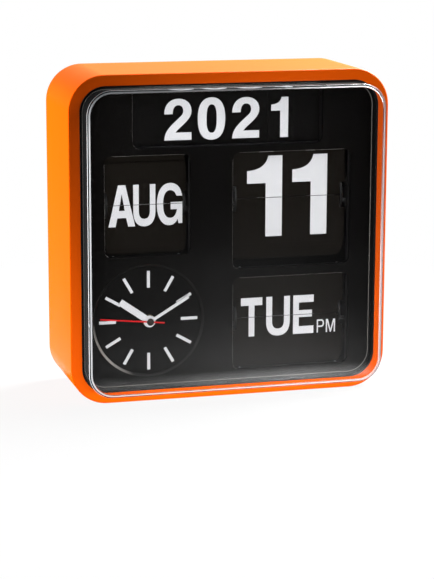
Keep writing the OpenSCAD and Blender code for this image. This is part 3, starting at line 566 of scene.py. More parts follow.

# Finishes of single faces and nodes that differ from the rest of their slot; most of them are painted
# highlights or painted shade
# A veil of painted shade on the lens walls, whose cover also shades the band from the lamps
CLEAR_SHADE_VEIL = AcrylicShadeVeil(Slot.CLEAR, kind="wall")
# A painted highlight along the lens's front edge, painted dimmer near the top
CLEAR_HIGHLIGHT = AcrylicPaintedLine(
    Slot.CLEAR, linear(226, 228, 230), linear(186, 189, 193), (0.7, 0.95), 0.2, 0.3, Pattern(40.0),
    upper=linear(104, 107, 110), kind="edge",
)
# A painted dark line beside the highlight, on the right and lower edges
CLEAR_SHADE = AcrylicPaintedLine(
    Slot.CLEAR, linear(22, 30, 38), linear(60, 72, 82), (0.9, 0.5), 0.3, 0.1, Pattern(50.0), kind="shade",
)
# The dial's chamfer, with a painted highlight
DIAL_GLINT = PaintedDialGlint(Slot.PANEL, kind="dial")
# Pale paint on the windows' rims: painted highlights along the edges that face the lamps
WINDOW_GLINT = Moulded(
    Slot.PANEL, linear(196, 191, 186), linear(214, 209, 204), 0.3, 0.02, 0.5, grain=FINE, kind="window",
)
# A pale finish for the bead at the lens's foot: a painted highlight line
BEAD_GLINT = Moulded(
    Slot.PANEL, linear(112, 108, 104), linear(126, 122, 117), 0.24, 0.02, 0.6, grain=FINE, kind="rim",
)
YEAR_CARD = Sheet(Slot.CARD, linear(7, 6, 6), linear(10, 9, 8), 0.6, gloss=0.1, kind="year")
# Paler cut edges of the leaves: a painted highlight line
CARD_EDGE_HIGHLIGHT = Sheet(Slot.CARD, linear(34, 30, 27), linear(46, 41, 37), 0.6, gloss=0.2, kind="edge")
# The drum gears, white mouldings, painted dark grey as the shade inside the case
GEAR_SHADE_PAINT = Moulded(Slot.WHITE, linear(30, 29, 28), linear(38, 37, 35), 0.5, gloss=0.2, kind="gear")

NODE_LOOKS: dict[str, Finish] = {"year_card": YEAR_CARD}
NODE_LOOKS.update({f"{name}_gear": GEAR_SHADE_PAINT for name in READINGS})


@dataclass(frozen=True)
class Rounding:
    """How edges are rounded: a radius in millimetres and its facets."""

    radius: float
    facets: int = 2


class Shape:
    """A bmesh in millimetres that operators shape, and that ends as one dressed piece."""

    merge: float = 0.002
    weld: float = 0.001
    facing: float = 0.99
    flat_turn: float = 0.5
    sharp_turn: float = 35.0

    def __init__(self) -> None:
        """Starts an empty shape."""
        self.bm = bmesh.new()

    @classmethod
    def of_node(cls, node: str) -> "Shape":
        """A merged copy of a CAD node's mesh.

        Args:
            node: The node's name.

        Returns:
            The shape, with its flat triangles joined.
        """
        shape = cls()
        bm = shape.bm
        bm.from_mesh(FRAME["nodes"][node].data)
        shape.resize(1 / MM)
        bmesh.ops.remove_doubles(bm, verts=bm.verts, dist=cls.merge)
        bmesh.ops.dissolve_limit(
            bm, angle_limit=math.radians(cls.flat_turn), verts=bm.verts, edges=bm.edges, delimit=set(),
        )
        return shape

    @classmethod
    def ring(cls, size: float, corner: float, depth: Span, width: float) -> "Shape":
        """A square ring with round corners about the middle of the case.

        Args:
            size: Outer size along X and Z.
            corner: Outer corner radius.
            depth: Front and back, along Y.
            width: Width of the ring.

        Returns:
            The ring.
        """
        shape = cls()
        shape.slab((size, size), corner, depth)
        before = shape.inset(shape.wall(FRONT, depth[0]), width)
        behind = shape.inset(shape.wall(BACK, depth[1]), width)
        shape.open_through(before, behind)
        bmesh.ops.recalc_face_normals(shape.bm, faces=shape.bm.faces)
        return shape

    def resize(self, scale: float) -> None:
        """Scales the whole shape about the origin."""
        bmesh.ops.scale(self.bm, vec=(scale,) * 3, verts=self.bm.verts)

    def slab(
        self, size: Span, corner: float, depth: Span, centre: Span = MIDDLE, facets: int = 16,
    ) -> None:
        """Adds a slab with round corners in X and Z.

        Args:
            size: Size along X and Z.
            corner: Corner radius.
            depth: Front and back, along Y.
            centre: Its middle in X and Z.
            facets: Facets of a corner.
        """
        thickness = depth[1] - depth[0]
        made = bmesh.ops.create_cube(self.bm, size=1.0)["verts"]
        bmesh.ops.scale(self.bm, vec=(size[0], thickness, size[1]), verts=made)
        bmesh.ops.translate(self.bm, vec=(centre[0], sum(depth) / 2, centre[1]), verts=made)
        edges = dict.fromkeys(edge for vert in made for edge in vert.link_edges)
        along = [edge for edge in edges if abs(edge.verts[0].co.y - edge.verts[1].co.y) > thickness / 2]
        self.bevel(along, Rounding(corner, facets))

    def bevel(self, edges: list[Edge], rounding: Rounding) -> None:
        """Rounds those of the edges that are still there."""
        bmesh.ops.bevel(
            self.bm, geom=[edge for edge in edges if edge.is_valid], offset=rounding.radius,
            offset_type="OFFSET", segments=rounding.facets, profile=0.5, affect="EDGES", material=-1,
            clamp_overlap=True,
        )

    def wall(self, normal: Spot, y: float) -> Face:
        """The largest face at a depth that points along a direction."""
        found = [
            face for face in self.bm.faces
            if face.normal.dot(Vector(normal)) > self.facing and abs(face.calc_center_median().y - y) < NEAR
        ]
        return max(found, key=lambda face: face.calc_area())

    def inset(self, face: Face, amount: float) -> Face:
        """Insets a face evenly and returns its inner part."""
        bmesh.ops.inset_region(
            self.bm, faces=[face], thickness=amount, use_even_offset=True, use_boundary=True,
        )
        return face

    def push(self, faces: list[Face], way: float, keep: bool = False) -> list[Face]:
        """Extrudes faces along Y.

        Args:
            faces: The faces.
            way: How far they go.
            keep: True where the first faces stay, as the back of a film does.

        Returns:
            The moved faces.
        """
        made = bmesh.ops.extrude_face_region(self.bm, geom=faces)["geom"]
        verts = [part for part in made if isinstance(part, bmesh.types.BMVert)]
        bmesh.ops.translate(self.bm, vec=(0.0, way, 0.0), verts=verts)
        if not keep:
            bmesh.ops.delete(self.bm, geom=faces, context="FACES")
        return [part for part in made if isinstance(part, Face)]

    def taper(self, face: Face, amount: float) -> None:
        """Draws a face in by an amount on each side, as a mould's draft does."""
        share = 1 - amount / max(abs(vert.co.x - MIDDLE[0]) for vert in face.verts)
        to_middle = Matrix.Translation((-MIDDLE[0], 0.0, -MIDDLE[1]))
        bmesh.ops.scale(self.bm, vec=(share, 1.0, share), space=to_middle, verts=face.verts)

    def open_through(self, first: Face, second: Face) -> None:
        """Joins two facing faces by a tunnel."""
        edges = [*first.edges, *second.edges]
        bmesh.ops.delete(self.bm, geom=[first, second], context="FACES_ONLY")
        bmesh.ops.bridge_loops(self.bm, edges=edges)

    def sharp_edges(self, depth: float | None = None, least: float = 30.0) -> list[Edge]:
        """Edges that turn sharply.

        Args:
            depth: The Y at which they lie, or None for all.
            least: The smallest turn in degrees.

        Returns:
            The edges.
        """
        return [
            edge for edge in self.bm.edges
            if len(edge.link_faces) == 2 and edge.calc_face_angle() > math.radians(least)
            and (depth is None or all(abs(vert.co.y - depth) <= NEAR for vert in edge.verts))
        ]

    def spun(self, profile: list[Span], centre: Span, steps: int = 48) -> None:
        """Adds a turned shape about an axis along Y.

        Args:
            profile: Radius and depth of each point, from the axis out and back to it.
            centre: The axis in X and Z.
            steps: Facets round the axis.
        """
        verts = [self.bm.verts.new((centre[0] + radius, y, centre[1])) for radius, y in profile]
        edges = [self.bm.edges.new(pair) for pair in zip(verts, verts[1:])]
        bmesh.ops.spin(
            self.bm, geom=verts + edges, cent=(centre[0], 0.0, centre[1]), axis=BACK, angle=2 * math.pi,
            steps=steps, use_merge=True,
        )
        bmesh.ops.remove_doubles(self.bm, verts=self.bm.verts, dist=self.weld)
        bmesh.ops.recalc_face_normals(self.bm, faces=self.bm.faces)

    def mark(self, test: Callable[[Face], bool], place: int = 1) -> None:
        """Gives the faces that pass a test one of the piece's other finishes."""
        self.bm.normal_update()
        for face in self.bm.faces:
            if test(face):
                face.material_index = place

    def piece(
        self, name: str, body: str, look: Slot | Finish, nodes: tuple[str, ...] = (), flat: bool = False,
        others: tuple[Finish, ...] = (),
    ) -> None:
        """Ends the shape as a dressed piece in metres.

        Args:
            name: The piece's name.
            body: The CAD body that it rides on.
            look: The finish, or the slot that has it.
            nodes: CAD nodes that it stands for.
            flat: True where wide flat faces meet rounded edges, which then keep flat shading.
            others: The finishes of the faces marked 1, 2 and so on.
        """
        self.resize(MM)
        mesh = bpy.data.meshes.new(name)
        self.bm.to_mesh(mesh)
        self.bm.free()
        mesh.shade_smooth()
        mesh.set_sharp_from_angle(angle=math.radians(self.sharp_turn))
        made = bpy.data.objects.new(name, mesh)
        bpy.context.scene.collection.objects.link(made)
        if flat:
            even = made.modifiers.new("even_normals", "WEIGHTED_NORMAL")
            even.keep_sharp = True
        finish = FINISHES[look] if isinstance(look, Slot) else look
        for used in (finish, *others):
            mesh.materials.append(used.material())
        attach(made, body)
        if nodes:
            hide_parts(*nodes)
        LOG.info("%s: %d faces on %s", name, len(mesh.polygons), body)


@dataclass
class Case:
    """The orange shell with its front band, and a black seal that paints the shade of the gap between band
    and lens.
    """

    size: float = 240.0
    corner: float = 27.0
    wall: float = 3.0
    band: float = 8.4
    rim: float = -31.0
    band_back: float = -27.8
    back: float = 52.5
    seal_lap: float = 0.25
    seal_width: float = 0.5
    seal_proud: float = 0.12
    rim_round: Rounding = Rounding(1.1, 4)
    edge_round: Rounding = Rounding(0.6)
    seal_round: Rounding = Rounding(0.1, 1)
    reach: float = 1.0
    level: float = 0.9

    def build(self) -> None:
        """Builds the shell from one slab: hollowed from the back, opened at the front, rims rounded, and the
        inside painted black as shade.
        """
        shape = Shape()
        shape.slab((self.size, self.size), self.corner, (self.rim, self.back))
        hollow = shape.inset(shape.wall(BACK, self.back), self.wall)
        floor = shape.push([hollow], self.band_back - self.back)[0]
        inner = shape.inset(floor, self.band - self.wall)
        outer = shape.inset(shape.wall(FRONT, self.rim), self.band)
        shape.open_through(inner, outer)
        shape.bm.normal_update()
        front = shape.sharp_edges(self.rim)
        outside = [edge for edge in front if self.is_outside(edge)]
        inside = [edge for edge in front if not self.is_outside(edge)]
        rear = shape.sharp_edges(self.back)
        shape.bevel(outside, self.rim_round)
        shape.bevel(inside, self.edge_round)
        shape.bevel(rear, self.edge_round)
        # The inside is painted black: painted shade where little light reaches
        shape.mark(self.is_shaded_inside)
        shape.piece("case_body", "clock", Slot.ORANGE, ("case_shell",), True, (FINISHES[Slot.BLACK],))
        self.build_gap_shade_seal()

    def build_gap_shade_seal(self) -> None:
        """Lays a thin black seal between the band and the lens, as painted shade in the gap there."""
        front = self.rim - self.seal_proud
        inset = self.band - self.seal_lap
        size = self.size - 2 * inset
        shape = Shape.ring(size, self.corner - inset, (front, self.band_back), self.seal_width)
        shape.bevel(shape.sharp_edges(front), self.seal_round)
        shape.piece("lens_gap_shade_seal", "clock", Slot.BLACK)

    def is_shaded_inside(self, face: Face) -> bool:
        """True for the shell's inner walls and for the back of the band, which are painted black as shade
        inside the case.
        """
        middle = face.calc_center_median()
        walls = within(face.normal.y, UPRIGHT) and outward(face, middle) < -self.reach
        return walls or (face.normal.y > self.level and middle.y < self.band_back + NEAR)

    def is_outside(self, edge: Edge) -> bool:
        """True for an edge of the shell's outer outline."""
        middle = (edge.verts[0].co + edge.verts[1].co) / 2
        return any(outward(face, middle) > self.reach for face in edge.link_faces)


@dataclass
class Lens:
    """The clear box in front, with its clamped flange; strips are spans of a normal's Y."""

    half: float = 111.0
    corner: float = 18.0
    front: float = -52.5
    face: float = 1.5
    wall: float = 1.8
    flange: float = 3.5
    flange_front: float = -27.8
    back: float = -26.0
    draft: float = 0.1
    bead: float = 0.5
    bead_gap: float = 0.1
    bead_rise: float = 0.35
    bead_sink: float = 0.1
    outer_round: Rounding = Rounding(2.2, 6)
    inner_round: Rounding = Rounding(0.9, 3)
    bead_round: Rounding = Rounding(0.225, 3)
    inner_strip: Span = (-0.995, -0.9)
    outer_strip: Span = (-0.45, -0.3)
    shade_strip: Span = (-0.85, -0.55)
    side_turn: float = 0.1

    def build(self) -> None:
        """Raises the box from its flange and hollows it from the back."""
        shape = Shape()
        size = 2 * (self.half + self.flange)
        shape.slab((size, size), self.corner + self.flange, (self.flange_front, self.back))
        foot = shape.inset(shape.wall(FRONT, self.flange_front), self.flange)
        top = shape.push([foot], self.front - self.flange_front)[0]
        shape.taper(top, self.draft)
        mouth = shape.inset(shape.wall(BACK, self.back), self.flange + self.wall)
        ceiling = shape.push([mouth], self.front + self.face - self.back)[0]
        shape.taper(ceiling, self.draft)
        shape.bm.normal_update()
        outer = shape.sharp_edges(self.front)
        inner = shape.sharp_edges(self.front + self.face)
        shape.bevel(outer, self.outer_round)
        shape.bevel(inner, self.inner_round)
        # The walls get painted shade, and the front edge painted highlight and painted shade
        for place, test in enumerate((self.is_shade_veiled, self.is_highlight_strip, self.is_shaded), 1):
            shape.mark(test, place)
        looks = (CLEAR_SHADE_VEIL, CLEAR_HIGHLIGHT, CLEAR_SHADE)
        shape.piece("lens_box", "clock", Slot.CLEAR, ("front_lens",), True, looks)
        self.build_glint_bead()

    def build_glint_bead(self) -> None:
        """Lays a fine polished bead, painted pale as a highlight line, where the walls stand on the panel."""
        inset = self.wall + self.bead_gap
        front = self.back - self.bead_rise
        depth = (front, self.back + self.bead_sink)
        shape = Shape.ring(2 * (self.half - inset), self.corner - inset, depth, self.bead)
        shape.bevel(shape.sharp_edges(front), self.bead_round)
        shape.piece("lens_foot_glint_bead", "clock", BEAD_GLINT)

    def is_shade_veiled(self, face: Face) -> bool:
        """True for the faces of the side walls, which carry the veil of painted shade."""
        return within(face.normal.y, UPRIGHT)

    def is_highlight_strip(self, face: Face) -> bool:
        """True for the two strips of the rounded front edge that get the painted highlight."""
        inner = within(face.normal.y, self.inner_strip)
        outer = within(face.normal.y, self.outer_strip)
        return (inner or outer) and self.is_front_edge(face)

    def is_shaded(self, face: Face) -> bool:
        """True for the strip outside the painted highlight, on the right and lower edges, which gets a
        painted dark line.
        """
        side = face.normal.x > self.side_turn or face.normal.z < -self.side_turn
        return within(face.normal.y, self.shade_strip) and side and self.is_front_edge(face)

    def is_front_edge(self, face: Face) -> bool:
        """True for a face of the box's rounded front edge, on its outside."""
        middle = face.calc_center_median()
        return middle.y < self.front + self.outer_round.radius and outward(face, middle) > 0.0


@dataclass
class Panel:
    """The black dial panel, with softened window rims; pale paint on some rims and on the dial's bevel is
    painted highlight; a slope is a span of a normal's Y.
    """

    front: float = -26.0
    dial_reach: float = 48.0
    rim_round: Rounding = Rounding(0.6)
    slope: Span = (-0.97, -0.15)
    level: float = 0.02
    facing: float = 0.25
    corner: float = 0.15

    def build(self) -> None:
        """Rounds the front edges of the windows and of the dial's bevel, and paints highlights on some of
        their faces.
        """
        shape = Shape.of_node("dial_panel")
        shape.bevel(shape.sharp_edges(self.front), self.rim_round)
        shape.mark(self.is_window_glint)
        shape.mark(self.is_dial_glint, 2)
        shape.piece("panel_plate", "clock", Slot.PANEL, ("dial_panel",), True, (WINDOW_GLINT, DIAL_GLINT))

    def is_window_glint(self, face: Face) -> bool:
        """True for the windows' left edges, lower left corners and top edges, which face the lamps and get a
        painted highlight.
        """
        across, slope, up = face.normal
        left = across > self.facing and (abs(up) < self.level or up > self.corner)
        top = up < -self.facing and abs(across) < self.level
        return within(slope, self.slope) and (left or top)

    def is_dial_glint(self, face: Face) -> bool:
        """True for a slope of the dial's bevel, which gets the painted highlight."""
        middle = face.calc_center_median()
        reach = math.hypot(middle.x - DIAL[0], middle.z - DIAL[1])
        return within(face.normal.y, self.slope) and reach < self.dial_reach


# Outlines of the printed signs in a box of 1 by 1: M starts a loop, L a straight and C a curve by two handles
SIGNS: dict[str, str] = {
    "0": "M .5,1 C .84,1 1,.82 1,.5 C 1,.18 .84,0 .5,0 C .16,0 0,.18 0,.5 C 0,.82 .16,1 .5,1"
         " M .505,.835 C .365,.835 .32,.72 .32,.5 C .32,.28 .365,.165 .505,.165"
         " C .645,.165 .69,.28 .69,.5 C .69,.72 .645,.835 .505,.835",
    "1": "M .53,0 L 1,0 L 1,1 L .6,1 C .54,.88 .35,.825 0,.818 L 0,.663 L .53,.663 L .53,0",
    "2": "M 0,.633 C 0,.86 .21,1 .51,1 C .81,1 1,.88 1,.70 C 1,.48 .62,.36 .404,.184 L 1,.184 L 1,0 L 0,0"
         " C .01,.21 .2,.33 .46,.485 C .64,.59 .7,.63 .7,.7 C .7,.79 .63,.845 .515,.845"
         " C .385,.845 .31,.77 .31,.633 L 0,.633",
    "A": "M 0,0 L .265,0 L .335,.21 L .665,.21 L .735,0 L 1,0 L .635,1 L .365,1 L 0,0"
         " M .39,.385 L .5,.79 L .61,.385 L .39,.385",
    "D": "M 0,0 L 0,1 L .5,1 C .85,1 1,.8 1,.5 C 1,.2 .85,0 .5,0 L 0,0"
         " M .27,.18 L .45,.18 C .65,.18 .72,.28 .72,.5 C .72,.72 .65,.82 .45,.82 L .27,.82 L .27,.18",
    "E": "M 0,0 L 1,0 L 1,.195 L .28,.195 L .28,.43 L .92,.43 L .92,.61 L .28,.61 L .28,.81 L 1,.81"
         " L 1,1 L 0,1 L 0,0",
    "G": "M .99,.69 L .77,.69 C .73,.78 .64,.83 .52,.83 C .33,.83 .244,.7 .244,.5"
         " C .244,.3 .33,.173 .525,.173 C .67,.173 .76,.25 .79,.375 L .54,.375 L .54,.548 L 1,.548"
         " L 1,.04 L .85,.04 L .81,.145 C .74,.05 .64,0 .49,0 C .19,0 0,.2 0,.5"
         " C 0,.8 .19,1 .52,1 C .77,1 .95,.89 .99,.69",
    "P": "M 0,0 L 0,1 L .56,1 C .86,1 1,.89 1,.7 C 1,.51 .86,.4 .56,.4 L .24,.4 L .24,0 L 0,0"
         " M .24,.55 L .24,.85 L .5,.85 C .68,.85 .76,.8 .76,.7 C .76,.6 .68,.55 .5,.55 L .24,.55",
    "S": "M .96,.68 C .95,.88 .78,1 .5,1 C .22,1 .04,.88 .04,.7 C .04,.5 .22,.46 .46,.41"
         " C .62,.37 .7,.35 .7,.27 C .7,.19 .62,.155 .51,.155 C .37,.155 .28,.21 .28,.33 L 0,.33"
         " C 0,.12 .18,0 .5,0 C .8,0 1,.11 1,.3 C 1,.5 .82,.55 .56,.6 C .4,.635 .33,.66 .33,.73"
         " C .33,.8 .4,.845 .5,.845 C .6,.845 .69,.8 .69,.68 L .96,.68",
    "T": "M .365,0 L .365,.8 L 0,.8 L 0,1 L 1,1 L 1,.8 L .635,.8 L .635,0 L .365,0",
    "U": "M 0,1 L 0,.37 C 0,.13 .18,0 .5,0 C .82,0 1,.13 1,.37 L 1,1 L .75,1 L .75,.37"
         " C .75,.24 .66,.18 .5,.18 C .34,.18 .25,.24 .25,.37 L .25,1 L 0,1",
    "W": "M 0,1 L .2,1 L .31,.3 L .42,1 L .58,1 L .69,.3 L .8,1 L 1,1 L .79,0 L .6,0 L .5,.66 L .4,0"
         " L .21,0 L 0,1",
    "a": "M 0,0 L .17,0 L .28,.27 L .72,.27 L .83,0 L 1,0 L .6,1 L .4,1 L 0,0"
         " M .33,.39 L .5,.86 L .67,.39 L .33,.39",
    "m": "M 0,0 L 0,1 L .21,1 L .5,.22 L .79,1 L 1,1 L 1,0 L .86,0 L .86,.8 L .56,0 L .44,0 L .14,.8"
         " L .14,0 L 0,0",
    "p": "M 0,0 L 0,1 L .56,1 C .86,1 1,.89 1,.71 C 1,.53 .86,.42 .56,.42 L .17,.42 L .17,0 L 0,0"
         " M .17,.53 L .17,.89 L .54,.89 C .74,.89 .82,.82 .82,.71 C .82,.6 .74,.53 .54,.53 L .17,.53",
}
# How many points follow each letter of an outline
POINTS = {"L": 1, "C": 3}


@dataclass(frozen=True)
class Sign:
    """One printed sign and its box on the leaf, in millimetres."""

    mark: str
    left: float
    right: float
    low: float
    high: float
    facets: int = 10

    def curve(self) -> bpy.types.Curve:
        """Draws the sign's outline as a flat curve.

        Returns:
            The curve, in the sign's place, with X across and Y up.
        """
        made = bpy.data.curves.new("sign", "CURVE")
        made.dimensions = "2D"
        made.fill_mode = "BOTH"
        made.resolution_u = self.facets
        for loop in SIGNS[self.mark].split("M")[1:]:
            self.add_loop(made, loop.split())
        return made

    def spot(self, pair: str) -> Vector:
        """A point of the outline in its place."""
        across, up = (float(part) for part in pair.split(","))
        x = self.left + across * (self.right - self.left)
        return Vector((x, self.low + up * (self.high - self.low), 0.0))

    def add_loop(self, curve: bpy.types.Curve, words: list[str]) -> None:
        """Adds one closed loop of straights and curves.

        Args:
            curve: The curve that gets it.
            words: The loop's first point, then letters and points; it ends where it starts.
        """
        spline = curve.splines.new("BEZIER")
        spline.use_cyclic_u = True
        points = spline.bezier_points
        points[0].co = self.spot(words[0])
        place = 1
        while place < len(words):
            count = POINTS[words[place]]
            spots = [self.spot(word) for word in words[place + 1:place + 1 + count]]
            place += 1 + count
            start = len(points) - 1
            closes = place >= len(words)
            if not closes:
                points.add(1)
            last = points[start]
            point = points[0 if closes else start + 1]
            point.co = spots[-1]
            last.handle_right_type = "FREE"
            point.handle_left_type = "FREE"
            curved = count == POINTS["C"]
            last.handle_right = spots[0] if curved else last.co.lerp(spots[-1], 1 / 3)
            point.handle_left = spots[1] if curved else last.co.lerp(spots[-1], 2 / 3)


class Half(Enum):
    """Which part of a reading a print shows."""

    UPPER = 1
    LOWER = -1
    WHOLE = 0


@dataclass
class Print:
    """A reading printed in white on a leaf or card."""

    signs: tuple[Sign, ...]
    face: float
    film: float = 0.03
    sink: float = 0.02
    cut_merge: float = 1e-5

    def shape(self, half: Half = Half.WHOLE, split: float = 0.0, gap: float = 0.0) -> Shape:
        """Raises the signs to a thin film and cuts it at the split line.

        Args:
            half: The part to keep.
            split: Height of the split line.
            gap: Half of the bare gap at the split line.

        Returns:
            The film, standing in X and Z.
        """
        shape = Shape()
        bm = shape.bm
        for sign in self.signs:
            curve = sign.curve()
            flat = bpy.data.objects.new("sign", curve)
            bm.from_mesh(flat.to_mesh())
            flat.to_mesh_clear()
            bpy.data.objects.remove(flat)
            bpy.data.curves.remove(curve)
        bmesh.ops.remove_doubles(bm, verts=bm.verts, dist=shape.weld)
        upright = Matrix.Rotation(math.radians(90), 3, "X")
        bmesh.ops.rotate(bm, cent=(0, 0, 0), matrix=upright, verts=bm.verts)
        bmesh.ops.translate(bm, vec=(0.0, self.face + self.sink, 0.0), verts=bm.verts)
        if half is not Half.WHOLE:
            bmesh.ops.bisect_plane(
                bm, geom=bm.verts[:] + bm.edges[:] + bm.faces[:], dist=self.cut_merge,
                plane_co=(0, 0, split + half.value * gap), plane_no=(0, 0, half.value), clear_inner=True,
            )
        shape.push(bm.faces[:], -self.film - self.sink, keep=True)
        bmesh.ops.recalc_face_normals(bm, faces=bm.faces)
        return shape


@dataclass
class Flap:
    """One split-flap reading: its leaves and their prints."""

    name: str
    split: float
    count: int
    pin_circle: float
    now: tuple[Sign, ...]
    coming: tuple[Sign, ...]
    leaf_half: float = 0.15
    gap: float = 0.2
    edge_turn: float = 50.0
    edge_round: Rounding = Rounding(0.1, 1)
    edge_strip: Span = (-0.9, 0.9)

    def build(self) -> None:
        """Softens the leaves and prints both readings on them."""
        for leaf, body in (("leaves", "drum"), ("front_leaf", "front_leaf"), ("next_leaf", "next_leaf")):
            node = f"{self.name}_{leaf}"
            shape = Shape.of_node(node)
            shape.bevel(shape.sharp_edges(least=self.edge_turn), self.edge_round)
            shape.mark(self.is_highlight_edge)
            shape.piece(f"{node}_sheet", f"{self.name}_{body}", Slot.CARD, (node,), True, (CARD_EDGE_HIGHLIGHT,))
        self.ink(self.half_print(self.now, Half.UPPER), "now_upper", "front_leaf")
        self.ink(self.half_print(self.now, Half.LOWER), "now_lower", "drum")
        lower = self.half_print(self.coming, Half.LOWER)
        self.turn_over(lower)
        self.ink(lower, "coming_lower", "front_leaf")
        upper = self.half_print(self.coming, Half.UPPER)
        self.set_back(upper)
        self.ink(upper, "coming_upper", "next_leaf")

    def is_highlight_edge(self, face: Face) -> bool:
        """True for the cut edges along a leaf's top and foot, which are painted paler as a highlight."""
        return within(face.normal.y, self.edge_strip) and within(face.normal.x, self.edge_strip)

    def half_print(self, signs: tuple[Sign, ...], half: Half) -> Shape:
        """Half of a reading, on the front of the upright leaves."""
        return Print(signs, LEAF_PLANE - self.leaf_half).shape(half, self.split, self.gap)

    def ink(self, shape: Shape, name: str, body: str) -> None:
        """Ends a print as a piece that rides on one of the reading's bodies."""
        shape.piece(f"{self.name}_{name}", f"{self.name}_{body}", Slot.INK)

    def turn_over(self, shape: Shape) -> None:
        """Turns a lower half over onto the back of the front leaf."""
        turn = Matrix.Rotation(math.pi, 3, "X")
        centre = (0.0, LEAF_PLANE, self.split)
        bmesh.ops.rotate(shape.bm, cent=centre, matrix=turn, verts=shape.bm.verts)

    def set_back(self, shape: Shape) -> None:
        """Sets an upper half on the leaf that waits behind the front one."""
        step = math.pi / self.count
        back = self.pin_circle * (math.cos(step) - math.cos(3 * step))
        rise = self.pin_circle * (math.sin(3 * step) - math.sin(step))
        bmesh.ops.translate(shape.bm, vec=(0.0, back, rise), verts=shape.bm.verts)


@dataclass
class Year:
    """The printed year: three figures on the card and the last one on its own tile."""

    tile_front: float = -17.9
    tile_round: Rounding = Rounding(0.12)
    fixed: tuple[Sign, ...] = (
        Sign("2", -46.9, -26.6, 189.9, 219.9),
        Sign("0", -21.9, -1.2, 189.4, 220.3),
        Sign("2", 4.1, 24.6, 189.8, 219.8),
    )
    last: tuple[Sign, ...] = (Sign("1", 33.6, 46.7, 189.6, 219.2),)

    def build(self) -> None:
        """Prints the figures and softens the tile."""
        Print(self.fixed, LEAF_PLANE).shape().piece("year_figures", "clock", Slot.INK)
        Print(self.last, self.tile_front).shape().piece("year_last_figure", "clock", Slot.INK)
        tile = Shape.of_node("year_digit")
        tile.bevel(tile.sharp_edges(), self.tile_round)
        tile.piece("year_tile", "clock", YEAR_CARD, ("year_digit",), flat=True)


@dataclass
class Dial:
    """Hour markers, hands and the cap over the hub."""

    cap_radius: float = 2.6
    cap_front: float = -32.8
    cap_back: float = -31.3
    cap_dome: Spans = ((0.0, 0.0), (0.45, 0.04), (0.75, 0.2), (0.93, 0.5), (1.0, 0.9))
    edge_round: Rounding = Rounding(0.06)

    def build(self) -> None:
        """Softens markers and hands, and turns the domed cap."""
        parts = (
            ("hour_markers", "clock", Slot.INK), ("hour_hand", "hour", Slot.INK),
            ("minute_hand", "minute", Slot.INK), ("second_hand", "second", Slot.RED),
        )
        for node, body, slot in parts:
            shape = Shape.of_node(node)
            shape.bevel(shape.sharp_edges(), self.edge_round)
            shape.piece(f"{node}_soft", body, slot, (node,), flat=True)
        cap = Shape()
        cap.spun(domed(self.cap_radius, self.cap_front, self.cap_back, self.cap_dome), DIAL)
        cap.piece("hub_cap", "second", Slot.CAP, ("hand_cap",))


